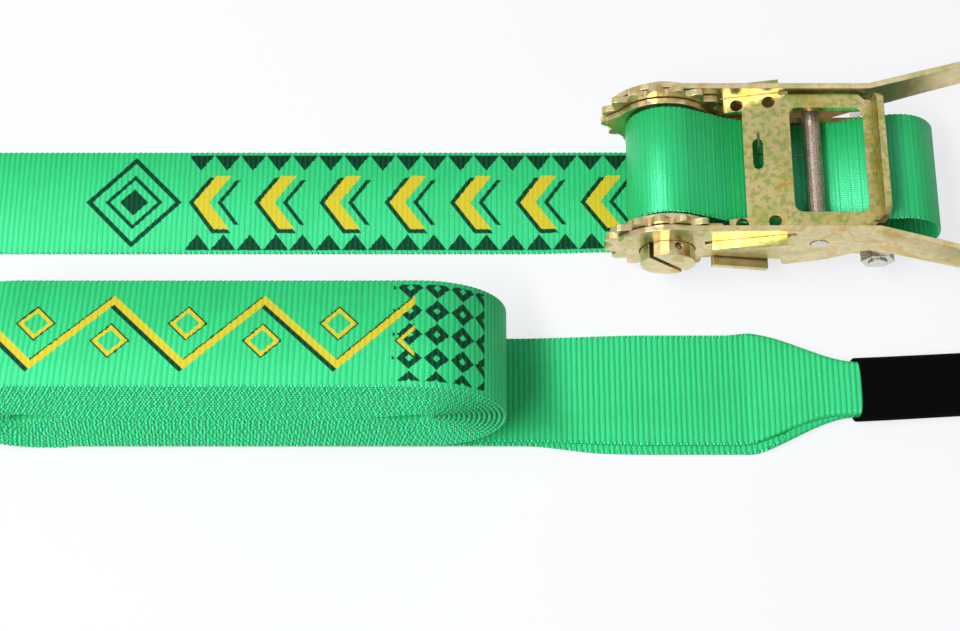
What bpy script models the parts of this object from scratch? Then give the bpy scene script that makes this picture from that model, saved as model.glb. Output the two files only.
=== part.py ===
"""A ratchet slackline set lying on the ground: the tensioning ratchet with its short strap,
and the rolled main line with its sewn eye and protective sleeve.

Lengths are metres, Z is up and the set rests on Z = 0. X runs along both webbings, the ratchet
stands behind (+Y) and the rolled line lies in front (-Y). Ratchet pieces are drawn about the
mandrel's axis, with X along the strap and Z up.
"""

import math

import bmesh
import bpy
import numpy as np
from mathutils import Matrix, Vector

MM = 0.001

# Webbing
WEB_WIDTH = 49.8 * MM
WEB_THICKNESS = 1.4 * MM
TOUCH_GAP = 0.3 * MM
RUNNING_GAP = 0.4 * MM
MERGE_REACH = 0.001 * MM
GAP_STEP = 1 * MM
ROUTE_STEP = 5 * MM

# Where the two halves of the set lie
SET_HALF_LENGTH = 300 * MM
SET_HALF_DEPTH = 82.5 * MM
AXIS_X = 82 * MM
AXIS_HEIGHT = 29 * MM

# Spool
MANDREL_RADIUS = 12 * MM
SLIT_WIDTH = 2.4 * MM
SLIT_TILT = math.radians(-48)
MANDREL_OVERHANG = 6.5 * MM
TOOTH_COUNT = 16
TIP_RADIUS = 27.9 * MM
ROOT_RADIUS = 23.4 * MM
SPROCKET_THICKNESS = 3 * MM
PIN_DIAMETER = 2.8 * MM
PIN_OVERHANG = 1.6 * MM
PIN_RECESS = 2 * MM
PIN_SETBACK = 2.2 * MM
PIN_LEAN = math.radians(18)
WINDING_TURNS = 0.69
WINDING_PITCH = 1.9 * MM
TAIL_SETBACK = 1 * MM
STRAP_LEAVE = math.radians(27)
STRAP_WRAP_START = math.radians(205)
STRAP_CLIMB_START = math.radians(185)
STRAP_TOP_RADIUS = 20.3 * MM

# Base frame
BASE_INNER = 26 * MM
BASE_THICKNESS = 2.5 * MM
BASE_HEAD_RADIUS = 21.5 * MM
BASE_LOBE_RADIUS = 25.2 * MM
BASE_LENGTH = 94 * MM
BASE_BOLT_DROP = 9.1 * MM
BASE_END_RADIUS = 11 * MM
BASE_TOP = 1.2 * MM
BASE_BOTTOM = 19.8 * MM
BASE_WEB_SETBACK = 12 * MM
BASE_LIP_HEIGHT = 9 * MM
BASE_NECK = 4 * MM

# Handle
HANDLE_THICKNESS = 2.5 * MM
HANDLE_HEAD_RADIUS = 24.2 * MM
HANDLE_CAM_RADIUS = 18.4 * MM
HANDLE_TOP = 23 * MM
HANDLE_REACH = 178 * MM
HANDLE_FLARE_LEAD = 2 * MM
HANDLE_HALF_SPAN = 48 * MM
HANDLE_FLARE_SLOPE = math.radians(14.5)
HANDLE_BELLY = 17.7 * MM
GRIP_LENGTH = 24 * MM
GRIP_LIP = 9 * MM
GRIP_RECESS = 1 * MM
GRIP_TUCK = 2 * MM
NOTCH_ROOM = 1 * MM
NOTCH_END_ROOM = 3 * MM
NUT_ROOM = 1.6 * MM
ROD_REACH = 65 * MM
ROD_HEIGHT = 8 * MM
ROD_DIAMETER = 5.4 * MM
ROD_HEAD_DIAMETER = 7.4 * MM
ROD_SLEEVE_DIAMETER = 7.8 * MM

# Pawls
PAWL_THICKNESS = 3 * MM
PAWL_ENGAGED_RADIUS = 25.8 * MM
PAWL_CLEARANCE = 2.6 * MM
PAWL_PULL = 3.6 * MM
DRIVE_ANGLE = math.radians(24)
DRIVE_SLOPE = math.radians(15)
LOCK_SLOPE = math.radians(-11)
PAWL_EAR_OVERHANG = 3.9 * MM
DRIVE_EAR_START = 18.5 * MM
DRIVE_EAR_END = 49.6 * MM
DRIVE_BEND = 52 * MM
DRIVE_SETBACK = 3.5 * MM
DRIVE_SIDE_ROOM = 1.2 * MM
DRIVE_SLOT_REACH = 39.5 * MM
DRIVE_SLOT_SIDE = 4 * MM
DRIVE_SLOT_LENGTH = 10 * MM
DRIVE_SLOT_WIDTH = 4.5 * MM
DRIVE_HOLE_NEAR = 31.5 * MM
DRIVE_HOLE_FAR = 45 * MM
DRIVE_HOLE_SIDE = 28.2 * MM
DRIVE_HOLE_DIAMETER = 5.6 * MM
FLANGE_HEIGHT = 10.5 * MM
FLANGE_LEAN = 0.8 * MM
LOCK_EAR_START = 20.6 * MM
LOCK_EAR_END = 45.6 * MM
LOCK_TAIL = 48.5 * MM
LOCK_TAIL_ROOM = 4 * MM
LOCK_SPRING_ROOM = 8.5 * MM
WINDOW_HALF_WIDTH = 25.4 * MM
DRIVE_WINDOW_EDGE = 33.6 * MM
REAR_WINDOW_START = 53.5 * MM
REAR_WINDOW_BAR = 4 * MM
REAR_WINDOW_CORNER = 4 * MM
REAR_WINDOW_HALF = 24.6 * MM

# Fasteners of the base
BOLT_DIAMETER = 8 * MM
BOLT_SLEEVE_DIAMETER = 12 * MM
WASHER_DIAMETER = 19 * MM
WASHER_THICKNESS = 1.5 * MM
NUT_ACROSS_FLATS = 13 * MM
NUT_HEIGHT = 6 * MM
BOLT_HEAD_HEIGHT = 5 * MM
BOLT_OVERHANG = 1 * MM

# Springs
SPRING_WIRE = 0.9 * MM
SPRING_DIAMETER = 6 * MM
DRIVE_SPRING_CURLS = 5
LOCK_SPRING_CURLS = 5
DRIVE_SPRING_LIFT = 1.2 * MM
DRIVE_SPRING_SETBACK = 5 * MM
DRIVE_SPRING_LEG = 8 * MM
HOOK_LENGTH = 9.5 * MM

# Rolled main line
ROLL_TURNS = 15
ROLL_PITCH = 2.1 * MM
ROLL_CORE_HALF_HEIGHT = 3.2 * MM
ROLL_PRESSED_GAP = 0.5 * MM
ROLL_PRESSED_LENGTH = 124 * MM
ROLL_CORE_END = 5.5 * MM
ROLL_RIGHT = 12 * MM
ROLL_FLAT = 166 * MM
ROLL_REAR_SHARE = 0.83
ROLL_LEAN = 7.5 * MM
EYE_START = -180 * MM
EYE_TAPER_START = 117 * MM
EYE_TAPER_END = 168 * MM
EYE_NECK_WIDTH = 26 * MM
EYE_NECK_THICKNESS = 3.4 * MM
SLEEVE_WALL = 1.2 * MM
SLEEVE_ROUND = 1.1 * MM
STRAP_EYE_LENGTH = 66 * MM
STRAP_EYE_HEIGHT = 9 * MM
STRAP_BIGHT_REACH = 27 * MM
STRAP_RISE = 9.6 * MM
STRAP_DIVE = 23.5 * MM
STRAP_PASS = 12 * MM

HANDLE_INNER = BASE_INNER + BASE_THICKNESS + 2 * RUNNING_GAP + SPROCKET_THICKNESS
HANDLE_OUTER = HANDLE_INNER + HANDLE_THICKNESS
SPROCKET_INNER = BASE_INNER + BASE_THICKNESS + RUNNING_GAP
DRIVE_END = BASE_LENGTH - DRIVE_SETBACK
REAR_WINDOW_END = DRIVE_END - REAR_WINDOW_BAR
HANDLE_FLARE_START = DRIVE_END - HANDLE_FLARE_LEAD
BASE_WEB_START = LOCK_TAIL + LOCK_SPRING_ROOM
BASE_WEB_END = BASE_LENGTH - BASE_WEB_SETBACK
RATCHET_Y = SET_HALF_DEPTH - HANDLE_HALF_SPAN
LINE_Y = WEB_WIDTH / 2 - SET_HALF_DEPTH
TOOTH_PITCH = 2 * math.pi / TOOTH_COUNT
LOCK_ANGLE = DRIVE_ANGLE - 2 * TOOTH_PITCH
WINDING_START_RADIUS = MANDREL_RADIUS + TOUCH_GAP + WEB_THICKNESS / 2
WINDING_END_RADIUS = WINDING_START_RADIUS + WINDING_PITCH * WINDING_TURNS
AXIS = Vector((AXIS_X, RATCHET_Y, AXIS_HEIGHT))

GREEN = (0.045, 0.56, 0.22, 1)
ZINC = (0.62, 0.52, 0.28, 1)
STEEL = (0.55, 0.55, 0.53, 1)
DULL_STEEL = (0.30, 0.26, 0.23, 1)
BLACK = (0.012, 0.012, 0.014, 1)

finishes = {}


def start_empty():
    """Clears the scene and makes the collections of the parts and of the cutters."""
    for thing in list(bpy.data.objects):
        bpy.data.objects.remove(thing)
    parts = bpy.data.collections.new("slackline")
    cutters = bpy.data.collections.new("cutters")
    for group in (parts, cutters):
        bpy.context.scene.collection.children.link(group)
    return parts, cutters


PARTS, CUTTERS = start_empty()


def finish(name, colour, roughness, metallic):
    """A plain finish, made once for each name."""
    if name not in finishes:
        made = bpy.data.materials.new(name)
        made.use_nodes = True
        shader = made.node_tree.nodes["Principled BSDF"]
        shader.inputs["Base Color"].default_value = colour
        shader.inputs["Roughness"].default_value = roughness
        shader.inputs["Metallic"].default_value = metallic
        finishes[name] = made
    return finishes[name]


def webbing_finish():
    return finish("green_polyester_webbing", GREEN, 0.75, 0)


def zinc_finish():
    return finish("yellow_zinc_steel", ZINC, 0.35, 1)


def steel_finish():
    return finish("bright_steel", STEEL, 0.3, 1)


def add_object(name, bm, material, group=PARTS, place=None):
    """Turns a bmesh into a named object at a place, with its faces pointing outwards."""
    bmesh.ops.recalc_face_normals(bm, faces=bm.faces)
    mesh = bpy.data.meshes.new(name)
    bm.to_mesh(mesh)
    bm.free()
    made = bpy.data.objects.new(name, mesh)
    group.objects.link(made)
    if material:
        mesh.materials.append(material)
    if place is not None:
        made.location = place
    return made


def smooth(made, angle=math.radians(35)):
    """Shades the round faces of a piece smooth and leaves its corners sharp."""
    made.data.shade_smooth()
    made.data.set_sharp_from_angle(angle=angle)
    return made


def cutter(made):
    """Hides a piece that only cuts others."""
    made.hide_render = True
    made.display_type = "WIRE"
    return made


def cut(made, tool, operation="DIFFERENCE"):
    """Cuts or joins a piece with another by an exact Boolean."""
    step = made.modifiers.new(f"{operation.lower()}_{tool.name}", "BOOLEAN")
    step.operation = operation
    step.solver = "EXACT"
    step.object = tool
    return made


def flat_mesh(outline, holes, thickness, stations=()):
    """A flat plate in the XY plane, centred on Z = 0, split along X at the stations."""
    curve = bpy.data.curves.new("outline", "CURVE")
    curve.dimensions = "2D"
    curve.fill_mode = "BOTH"
    curve.extrude = thickness / 2
    for ring in (outline, *holes):
        spline = curve.splines.new("POLY")
        spline.points.add(len(ring) - 1)
        for point, (x, y) in zip(spline.points, ring):
            point.co = (x, y, 0, 1)
        spline.use_cyclic_u = True
    holder = bpy.data.objects.new("outline", curve)
    PARTS.objects.link(holder)
    mesh = bpy.data.meshes.new_from_object(
        holder.evaluated_get(bpy.context.evaluated_depsgraph_get())
    )
    bm = bmesh.new()
    bm.from_mesh(mesh)
    bpy.data.objects.remove(holder)
    bpy.data.curves.remove(curve)
    bpy.data.meshes.remove(mesh)
    bmesh.ops.remove_doubles(bm, verts=bm.verts, dist=MERGE_REACH)
    for station in stations:
        everything = bm.verts[:] + bm.edges[:] + bm.faces[:]
        bmesh.ops.bisect_plane(
            bm, geom=everything, dist=MERGE_REACH, plane_co=(station, 0, 0), plane_no=(1, 0, 0)
        )
    return bm


def side_plate(name, outline, holes, thickness, y_middle, material, group=PARTS, place=None):
    """A plate that stands in the XZ plane about the ratchet's axis, with its middle at a Y."""
    bm = flat_mesh(outline, holes, thickness)
    bmesh.ops.transform(bm, matrix=Matrix.Rotation(math.pi / 2, 4, "X"), verts=bm.verts)
    bmesh.ops.translate(bm, vec=(0, y_middle, 0), verts=bm.verts)
    return add_object(name, bm, material, group, AXIS if place is None else place)


def fold(bm, line):
    """Bends a flat plate along a line of (distance, across, up) stations, with mitred corners."""
    distances = [row[0] for row in line]
    points = [Vector((row[1], row[2])) for row in line]
    normals = []
    for i in range(len(points)):
        before = (points[i] - points[max(i - 1, 0)]).normalized() if i else None
        after = (points[i + 1] - points[i]).normalized() if i + 1 < len(points) else None
        along = (before or after) + (after or before)
        along.normalize()
        normal = Vector((-along.y, along.x))
        square = Vector((-(before or after).y, (before or after).x))
        normals.append(normal / normal.dot(square))
    for vertex in bm.verts:
        at = min(max(vertex.co.x, distances[0]), distances[-1])
        i = max(k for k in range(len(distances) - 1) if distances[k] <= at)
        share = (at - distances[i]) / (distances[i + 1] - distances[i])
        centre = points[i].lerp(points[i + 1], share)
        normal = normals[i].lerp(normals[i + 1], share)
        spot = centre + normal * vertex.co.z
        vertex.co = Vector((spot.x, vertex.co.y, spot.y))


def arc(radius, start, end, steps, centre=(0, 0)):
    """Points along an arc, angles in radians, both ends included."""
    return [
        (
            centre[0] + radius * math.cos(start + (end - start) * i / steps),
            centre[1] + radius * math.sin(start + (end - start) * i / steps),
        )
        for i in range(steps + 1)
    ]


def circle(radius, steps=20, centre=(0, 0)):
    return arc(radius, 0, 2 * math.pi, steps, centre)[:-1]


def rounded(points, radius, steps=3):
    """The outline again, each corner drawn round with a radius that its sides allow."""
    made = []
    count = len(points)
    for i in range(count):
        corner = Vector(points[i])
        before = Vector(points[i - 1]) - corner
        after = Vector(points[(i + 1) % count]) - corner
        reach = min(radius, before.length / 2.1, after.length / 2.1)
        first = corner + before.normalized() * reach
        last = corner + after.normalized() * reach
        for k in range(steps + 1):
            t = k / steps
            spot = first * (1 - t) ** 2 + corner * 2 * t * (1 - t) + last * t**2
            made.append((spot.x, spot.y))
    return made


def slot(start, end, width, ends=4):
    """A slot with round ends between two points."""
    first, last = Vector(start), Vector(end)
    angle = math.atan2(last.y - first.y, last.x - first.x)
    return arc(width / 2, angle + math.pi / 2, angle + 3 * math.pi / 2, ends, first) + arc(
        width / 2, angle - math.pi / 2, angle + math.pi / 2, ends, last
    )


def box_slot(start, end, width):
    """A slot with square ends between two points."""
    first, last = Vector(start), Vector(end)
    along = (last - first).normalized()
    across = Vector((-along.y, along.x)) * width / 2
    return [tuple(p) for p in (first - across, last - across, last + across, first + across)]


def rod_along_y(name, radius, start, end, material, group=PARTS, place=None, at=(0, 0), sides=20):
    """A round bar along Y, at an (x, z) place about the ratchet's axis."""
    bm = bmesh.new()
    bmesh.ops.create_cone(
        bm,
        cap_ends=True,
        segments=sides,
        radius1=radius,
        radius2=radius,
        depth=end - start,
    )
    bmesh.ops.transform(bm, matrix=Matrix.Rotation(math.pi / 2, 4, "X"), verts=bm.verts)
    bmesh.ops.translate(bm, vec=(at[0], (start + end) / 2, at[1]), verts=bm.verts)
    return smooth(add_object(name, bm, material, group, AXIS if place is None else place))


def ribbon(name, path, width, thickness, y_middle, material, place=None, loose_end=None):
    """Webbing laid along an (x, z) path: an open strip across Y that Solidify gives its wall."""
    bm = bmesh.new()
    rows = []
    for x, z in path:
        rows.append(
            [bm.verts.new((x, y_middle + side * width / 2, z)) for side in (-1, 1)]
        )
    for first, last in zip(rows, rows[1:]):
        bm.faces.new((first[0], last[0], last[1], first[1]))
    mesh = bpy.data.meshes.new(name)
    bm.to_mesh(mesh)
    bm.free()
    made = bpy.data.objects.new(name, mesh)
    PARTS.objects.link(made)
    mesh.materials.append(material)
    if place is not None:
        made.location = place
    wall = made.modifiers.new("wall", "SOLIDIFY")
    wall.thickness = thickness
    wall.offset = 0
    wall.use_even_offset = True
    return made


def path_length(path):
    return sum(math.dist(a, b) for a, b in zip(path, path[1:]))


def least_gap(path, thickness, apart):
    """The least clear gap between stretches of a path that are further apart along it."""
    fine = []
    for a, b in zip(path, path[1:]):
        steps = max(1, math.ceil(math.dist(a, b) / GAP_STEP))
        fine += [np.array(a) + (np.array(b) - np.array(a)) * k / steps for k in range(steps)]
    fine = np.array(fine)
    along = np.concatenate([[0], np.cumsum(np.linalg.norm(np.diff(fine, axis=0), axis=1))])
    least = math.inf
    for i in range(0, len(fine), 3):
        far = np.abs(along - along[i]) > apart
        if far.any():
            least = min(least, float(np.linalg.norm(fine[far] - fine[i], axis=1).min()))
    return least - thickness


def smooth_path(points, step):
    """Points read from a smooth curve through a route's own points, about a step apart."""
    knots = [Vector(p) for p in points]
    made = []
    for i in range(len(knots) - 1):
        before = knots[max(i - 1, 0)]
        a, b = knots[i], knots[i + 1]
        after = knots[min(i + 2, len(knots) - 1)]
        steps = max(1, round((b - a).length / step))
        for k in range(steps):
            t = k / steps
            spot = (
                a * 2
                + (b - before) * t
                + (before * 2 - a * 5 + b * 4 - after) * t**2
                + (a * 3 - before - b * 3 + after) * t**3
            ) / 2
            made.append((spot.x, spot.y))
    made.append(tuple(knots[-1]))
    return made


def tooth_radius(angle):
    """The radius of the ratchet wheel's edge at an angle: wide rounded lobes, narrow hollows."""
    share = ((angle - DRIVE_ANGLE) / TOOTH_PITCH) % 1
    rise = 0.5 - 0.5 * math.cos(2 * math.pi * share)
    lobe_share = 0.8
    return ROOT_RADIUS + (TIP_RADIUS - ROOT_RADIUS) * rise**lobe_share


def turned_about_axis(point, angle):
    cosine, sine = math.cos(angle), math.sin(angle)
    return (point[0] * cosine - point[1] * sine, point[0] * sine + point[1] * cosine)


def half_bar_outline(radius, slit, side):
    """One half of the split mandrel, on one side of its slit, turned with the slit."""
    lift = slit / 2
    start = math.asin(lift / radius)
    points = arc(radius, start, math.pi - start, 10)
    return [turned_about_axis((x, y * side), SLIT_TILT) for x, y in points]


def mandrel_half(name, side):
    """A half-round bar of the split mandrel with the pin holes near its ends."""
    length = 2 * (HANDLE_OUTER + MANDREL_OVERHANG)
    made = side_plate(
        name, half_bar_outline(MANDREL_RADIUS, SLIT_WIDTH, side), (), length, 0, zinc_finish()
    )
    for end in (-1, 1):
        cut(made, pin_bar(f"{name}_pin_hole_{end}", PIN_DIAMETER / 2 + TOUCH_GAP, end, CUTTERS))
    return smooth(made)


def lean_on_pin(bm, end):
    """Turns a shape drawn about Z to a split pin's lean and moves it to its end of the mandrel."""
    bmesh.ops.transform(bm, matrix=Matrix.Rotation(PIN_LEAN, 4, "Y"), verts=bm.verts)
    away = end * (HANDLE_OUTER + PIN_SETBACK)
    bmesh.ops.translate(bm, vec=(0, away, 0), verts=bm.verts)


def pin_bar(name, radius, end, group):
    """A bar across both mandrel halves, outside the handle's plate."""
    low = -MANDREL_RADIUS - PIN_OVERHANG
    high = MANDREL_RADIUS - PIN_RECESS if group is PARTS else -low
    bm = bmesh.new()
    bmesh.ops.create_cone(
        bm, cap_ends=True, segments=12, radius1=radius, radius2=radius, depth=high - low
    )
    bmesh.ops.translate(bm, vec=(0, 0, (low + high) / 2), verts=bm.verts)
    lean_on_pin(bm, end)
    material = steel_finish() if group is PARTS else None
    made = add_object(name, bm, material, group, AXIS)
    return made if group is PARTS else cutter(made)


def split_pin(name, end):
    """A split pin: a leg that ends inside its hole above, with a ring at its head below."""
    leg = pin_bar(name, PIN_DIAMETER / 2, end, PARTS)
    bm = bmesh.new()
    ring_radius = PIN_DIAMETER * 0.75
    wire = PIN_DIAMETER / 4
    rings = 14
    bmesh.ops.create_circle(bm, segments=6, radius=wire)
    bmesh.ops.transform(bm, matrix=Matrix.Rotation(math.pi / 2, 4, "X"), verts=bm.verts)
    bmesh.ops.translate(bm, vec=(ring_radius, 0, 0), verts=bm.verts)
    bmesh.ops.spin(
        bm,
        geom=bm.verts[:] + bm.edges[:],
        cent=(0, 0, 0),
        axis=(0, 0, 1),
        angle=2 * math.pi,
        steps=rings,
        use_merge=True,
    )
    bmesh.ops.remove_doubles(bm, verts=bm.verts, dist=MERGE_REACH)
    bmesh.ops.transform(bm, matrix=Matrix.Rotation(math.pi / 2, 4, "X"), verts=bm.verts)
    drop = MANDREL_RADIUS + PIN_OVERHANG + ring_radius * 0.8
    bmesh.ops.translate(bm, vec=(0, 0, -drop), verts=bm.verts)
    lean_on_pin(bm, end)
    ring = cutter(add_object(f"{name}_ring", bm, None, CUTTERS, AXIS))
    cut(leg, ring, "UNION")
    return smooth(leg)


def sprocket(name, end):
    """A ratchet wheel with sixteen rounded teeth, keyed on the two mandrel halves."""
    steps = TOOTH_COUNT * 8
    outline = [
        turned_about_axis((tooth_radius(2 * math.pi * i / steps), 0), 2 * math.pi * i / steps)
        for i in range(steps)
    ]
    holes = [
        half_bar_outline(MANDREL_RADIUS + TOUCH_GAP, SLIT_WIDTH - 2 * TOUCH_GAP, side)
        for side in (-1, 1)
    ]
    middle = end * (SPROCKET_INNER + SPROCKET_THICKNESS / 2)
    return side_plate(name, outline, holes, SPROCKET_THICKNESS, middle, zinc_finish())


def winding_path():
    """The strap out of the slit and round the mandrel, up to where its free part covers it."""
    along = Vector((math.cos(SLIT_TILT), math.sin(SLIT_TILT)))
    inner = along * -(MANDREL_RADIUS - TAIL_SETBACK)
    leave = math.pi / 2 - STRAP_LEAVE
    turned = 2 * math.pi * WINDING_TURNS
    steps = round(24 * WINDING_TURNS)
    spiral = []
    for i in range(steps + 1):
        share = i / steps
        angle = leave + turned * (1 - share)
        radius = WINDING_START_RADIUS + (WINDING_END_RADIUS - WINDING_START_RADIUS) * share
        spiral.append((radius * math.cos(angle), radius * math.sin(angle)))
    return spiral, (tuple(inner), tuple(along * (MANDREL_RADIUS - TAIL_SETBACK)))


def strap_winding():
    """The strap wound close on the spool, one unbroken ribbon."""
    spiral, _ = winding_path()
    made = ribbon(
        "strap_winding", spiral, WEB_WIDTH, WEB_THICKNESS, 0, webbing_finish(), AXIS
    )
    print(f"winding: {path_length(spiral):.3f} m long, less than one turn round the mandrel")
    return made


def strap_tail():
    """The strap's end where it is held in the mandrel's slit."""
    _, (inner, outer) = winding_path()
    held = SLIT_WIDTH - 2 * TOUCH_GAP
    return ribbon(
        "strap_tail", [inner, outer], WEB_WIDTH, min(held, WEB_THICKNESS), 0, webbing_finish(), AXIS
    )


def strap_wrap():
    """The free strap's loose lap over the winding, from the spool's far side up to the top."""
    low_radius = WINDING_END_RADIUS + WEB_THICKNESS + RUNNING_GAP
    leave = math.pi / 2 - STRAP_LEAVE
    steps = 16
    points = []
    for i in range(steps):
        angle = STRAP_WRAP_START + (leave - STRAP_WRAP_START) * i / steps
        climb_share = (STRAP_CLIMB_START - angle) / (STRAP_CLIMB_START - math.pi / 2)
        climb_share = min(max(climb_share, 0), 1)
        ease = climb_share * climb_share * (3 - 2 * climb_share)
        radius = low_radius + (STRAP_TOP_RADIUS - low_radius) * ease
        points.append(Vector((radius * math.cos(angle), radius * math.sin(angle))))
    return points


def strap_route():
    """The free strap over the spool, under the pull pawl, round the bolt and along the ground."""
    ground = WEB_THICKNESS / 2 - AXIS_HEIGHT
    first = Vector((math.sin(STRAP_LEAVE), math.cos(STRAP_LEAVE))) * STRAP_TOP_RADIUS
    down = Vector((math.cos(STRAP_LEAVE), -math.sin(STRAP_LEAVE)))
    rod_low = ROD_HEIGHT - ROD_SLEEVE_DIAMETER / 2 - TOUCH_GAP - WEB_THICKNESS / 2
    points = strap_wrap()
    points += [first, first + down * STRAP_DIVE / 2, first + down * STRAP_DIVE]
    pass_shares = ((-1.85, 0.125), (-1, -0.146), (0, -0.094), (1, 0.156))
    points += [(ROD_REACH + STRAP_PASS * x, rod_low + STRAP_RISE * z) for x, z in pass_shares]
    rise_shares = ((-0.3, 0.58), (0.3, 1), (0.7, 0.68), (0.96, -0.31))
    points += [
        (BASE_LENGTH + STRAP_BIGHT_REACH * x, rod_low + STRAP_RISE * z) for x, z in rise_shares
    ]
    return_shares = ((1, -0.185), (0.7, -0.46))
    points += [
        (BASE_LENGTH + STRAP_BIGHT_REACH * x, -BASE_BOLT_DROP + STRAP_BIGHT_REACH * z)
        for x, z in return_shares
    ]
    landing_shares = ((-0.07, 0.1), (-0.96, 0), (-2.2, 0))
    points += [
        (BASE_LENGTH + STRAP_BIGHT_REACH * x, ground + STRAP_BIGHT_REACH * z)
        for x, z in landing_shares
    ]
    left = -SET_HALF_LENGTH - AXIS_X
    path = smooth_path(points, ROUTE_STEP)
    eye_x = left + WEB_THICKNESS / 2
    height = ground + STRAP_EYE_HEIGHT
    path += [(left + STRAP_EYE_LENGTH, ground), (left + STRAP_EYE_LENGTH / 2, ground)]
    bend = STRAP_EYE_HEIGHT / 2
    path += [
        (eye_x + bend + x, ground + bend + z)
        for x, z in arc(bend, -math.pi / 2, -3 * math.pi / 2, 8)
    ]
    lap = ground + WEB_THICKNESS + 1.5 * TOUCH_GAP
    path += [
        (left + STRAP_EYE_LENGTH * 0.35, height),
        (left + STRAP_EYE_LENGTH * 0.6, lap),
        (left + STRAP_EYE_LENGTH, lap),
    ]
    return path


def strap_run():
    """The free strap, with its sewn eye at the far end."""
    path = strap_route()
    print(f"strap outside the spool: {path_length(path):.3f} m long")
    return ribbon("strap_run", path, WEB_WIDTH, WEB_THICKNESS, 0, webbing_finish(), AXIS)


def pawl_point(angle, slope, x):
    """The height of a pawl's middle plane at an x, about the axis."""
    tip = Vector((math.cos(angle), math.sin(angle))) * PAWL_ENGAGED_RADIUS
    return tip.y + (x - tip.x) * math.tan(slope)


def pawl_tip(angle, slope):
    """Where a pawl's prongs end at rest, just clear of the teeth's tips."""
    tip = Vector((math.cos(angle), math.sin(angle))) * PAWL_ENGAGED_RADIUS
    return tip + Vector((math.cos(slope), math.sin(slope))) * PAWL_CLEARANCE


def pawl_slot(angle, slope, start, end):
    """The slot that a pawl's ear slides in, with room for its whole travel."""
    along = Vector((math.cos(slope), math.sin(slope)))
    first = Vector((start, pawl_point(angle, slope, start))) - along * (
        PAWL_CLEARANCE + RUNNING_GAP
    )
    last = Vector((end, pawl_point(angle, slope, end))) + along * (PAWL_PULL + RUNNING_GAP)
    return box_slot(first, last, PAWL_THICKNESS + 2 * RUNNING_GAP)


def base_plate_outline():
    """The base frame's side: round head with its release lobe, arm and round bolt end."""
    lobe_at = math.radians(184)
    points = arc(BASE_HEAD_RADIUS, math.radians(24), math.radians(158), 12)
    points += [turned_about_axis((BASE_LOBE_RADIUS, 0), lobe_at - math.radians(12))]
    points += [turned_about_axis((BASE_LOBE_RADIUS, 0), lobe_at)]
    points += arc(BASE_HEAD_RADIUS, math.radians(200), math.radians(262), 6)
    points += [(BASE_HEAD_RADIUS * 0.6, -BASE_BOTTOM), (BASE_WEB_END, -BASE_BOTTOM)]
    bolt = (BASE_LENGTH, -BASE_BOLT_DROP)
    points += arc(BASE_END_RADIUS, math.radians(-75), math.radians(80), 9, bolt)
    points += [(BASE_WEB_START, BASE_TOP), (BASE_HEAD_RADIUS + BASE_NECK, BASE_TOP)]
    return points


def base_frame():
    """The folded base: two side plates joined by a web with an upturned spring seat."""
    hole = circle(MANDREL_RADIUS + RUNNING_GAP, 28)
    bolt_hole = circle(BOLT_DIAMETER / 2 + TOUCH_GAP, 14, (BASE_LENGTH, -BASE_BOLT_DROP))
    lock_slot = pawl_slot(LOCK_ANGLE, LOCK_SLOPE, pawl_tip(LOCK_ANGLE, LOCK_SLOPE).x, LOCK_EAR_END)
    plates = [
        side_plate(
            f"base_plate_{end}",
            base_plate_outline(),
            (hole, bolt_hole, lock_slot),
            BASE_THICKNESS,
            end * (BASE_INNER + BASE_THICKNESS / 2),
            zinc_finish(),
            CUTTERS,
        )
        for end in (-1, 1)
    ]
    half = BASE_INNER + BASE_THICKNESS / 2
    floor_z = -BASE_BOTTOM + BASE_THICKNESS
    lip = BASE_LIP_HEIGHT
    outline = [
        (0, -half * 0.4),
        (lip, -half * 0.4),
        (lip, -half),
        (lip + BASE_WEB_END - BASE_WEB_START, -half),
        (lip + BASE_WEB_END - BASE_WEB_START, half),
        (lip, half),
        (lip, half * 0.4),
        (0, half * 0.4),
    ]
    bm = flat_mesh(outline, (), BASE_THICKNESS, (lip,))
    fold(
        bm,
        [
            (0, BASE_WEB_START, floor_z + lip),
            (lip, BASE_WEB_START, floor_z),
            (lip + BASE_WEB_END - BASE_WEB_START, BASE_WEB_END, floor_z),
        ],
    )
    made = add_object("base_frame", bm, zinc_finish(), PARTS, AXIS)
    for plate in plates:
        cut(made, cutter(plate), "UNION")
    return smooth(made)


def pawl_outline(tip, ear_start, ear_end, end, window_edge, tail_half):
    """The flat pattern of a pawl, as distances along it from the prongs' tips."""
    prong_outer = HANDLE_INNER - RUNNING_GAP
    ear_inner = HANDLE_INNER - RUNNING_GAP / 2
    ear_outer = HANDLE_OUTER + PAWL_EAR_OVERHANG
    half = [
        (window_edge, 0),
        (window_edge, WINDOW_HALF_WIDTH),
        (tip, WINDOW_HALF_WIDTH),
        (tip, prong_outer),
        (tip + PAWL_THICKNESS / 3, ear_inner),
        (ear_start, ear_inner),
        (ear_start, ear_outer),
        (ear_end, ear_outer),
        (ear_end, tail_half),
        (end, tail_half),
        (end, 0),
    ]
    return half


def mirrored(half):
    """A closed outline from its upper half, whose first and last points lie on the middle."""
    return half + [(x, -y) for x, y in reversed(half[1:-1])]


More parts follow.
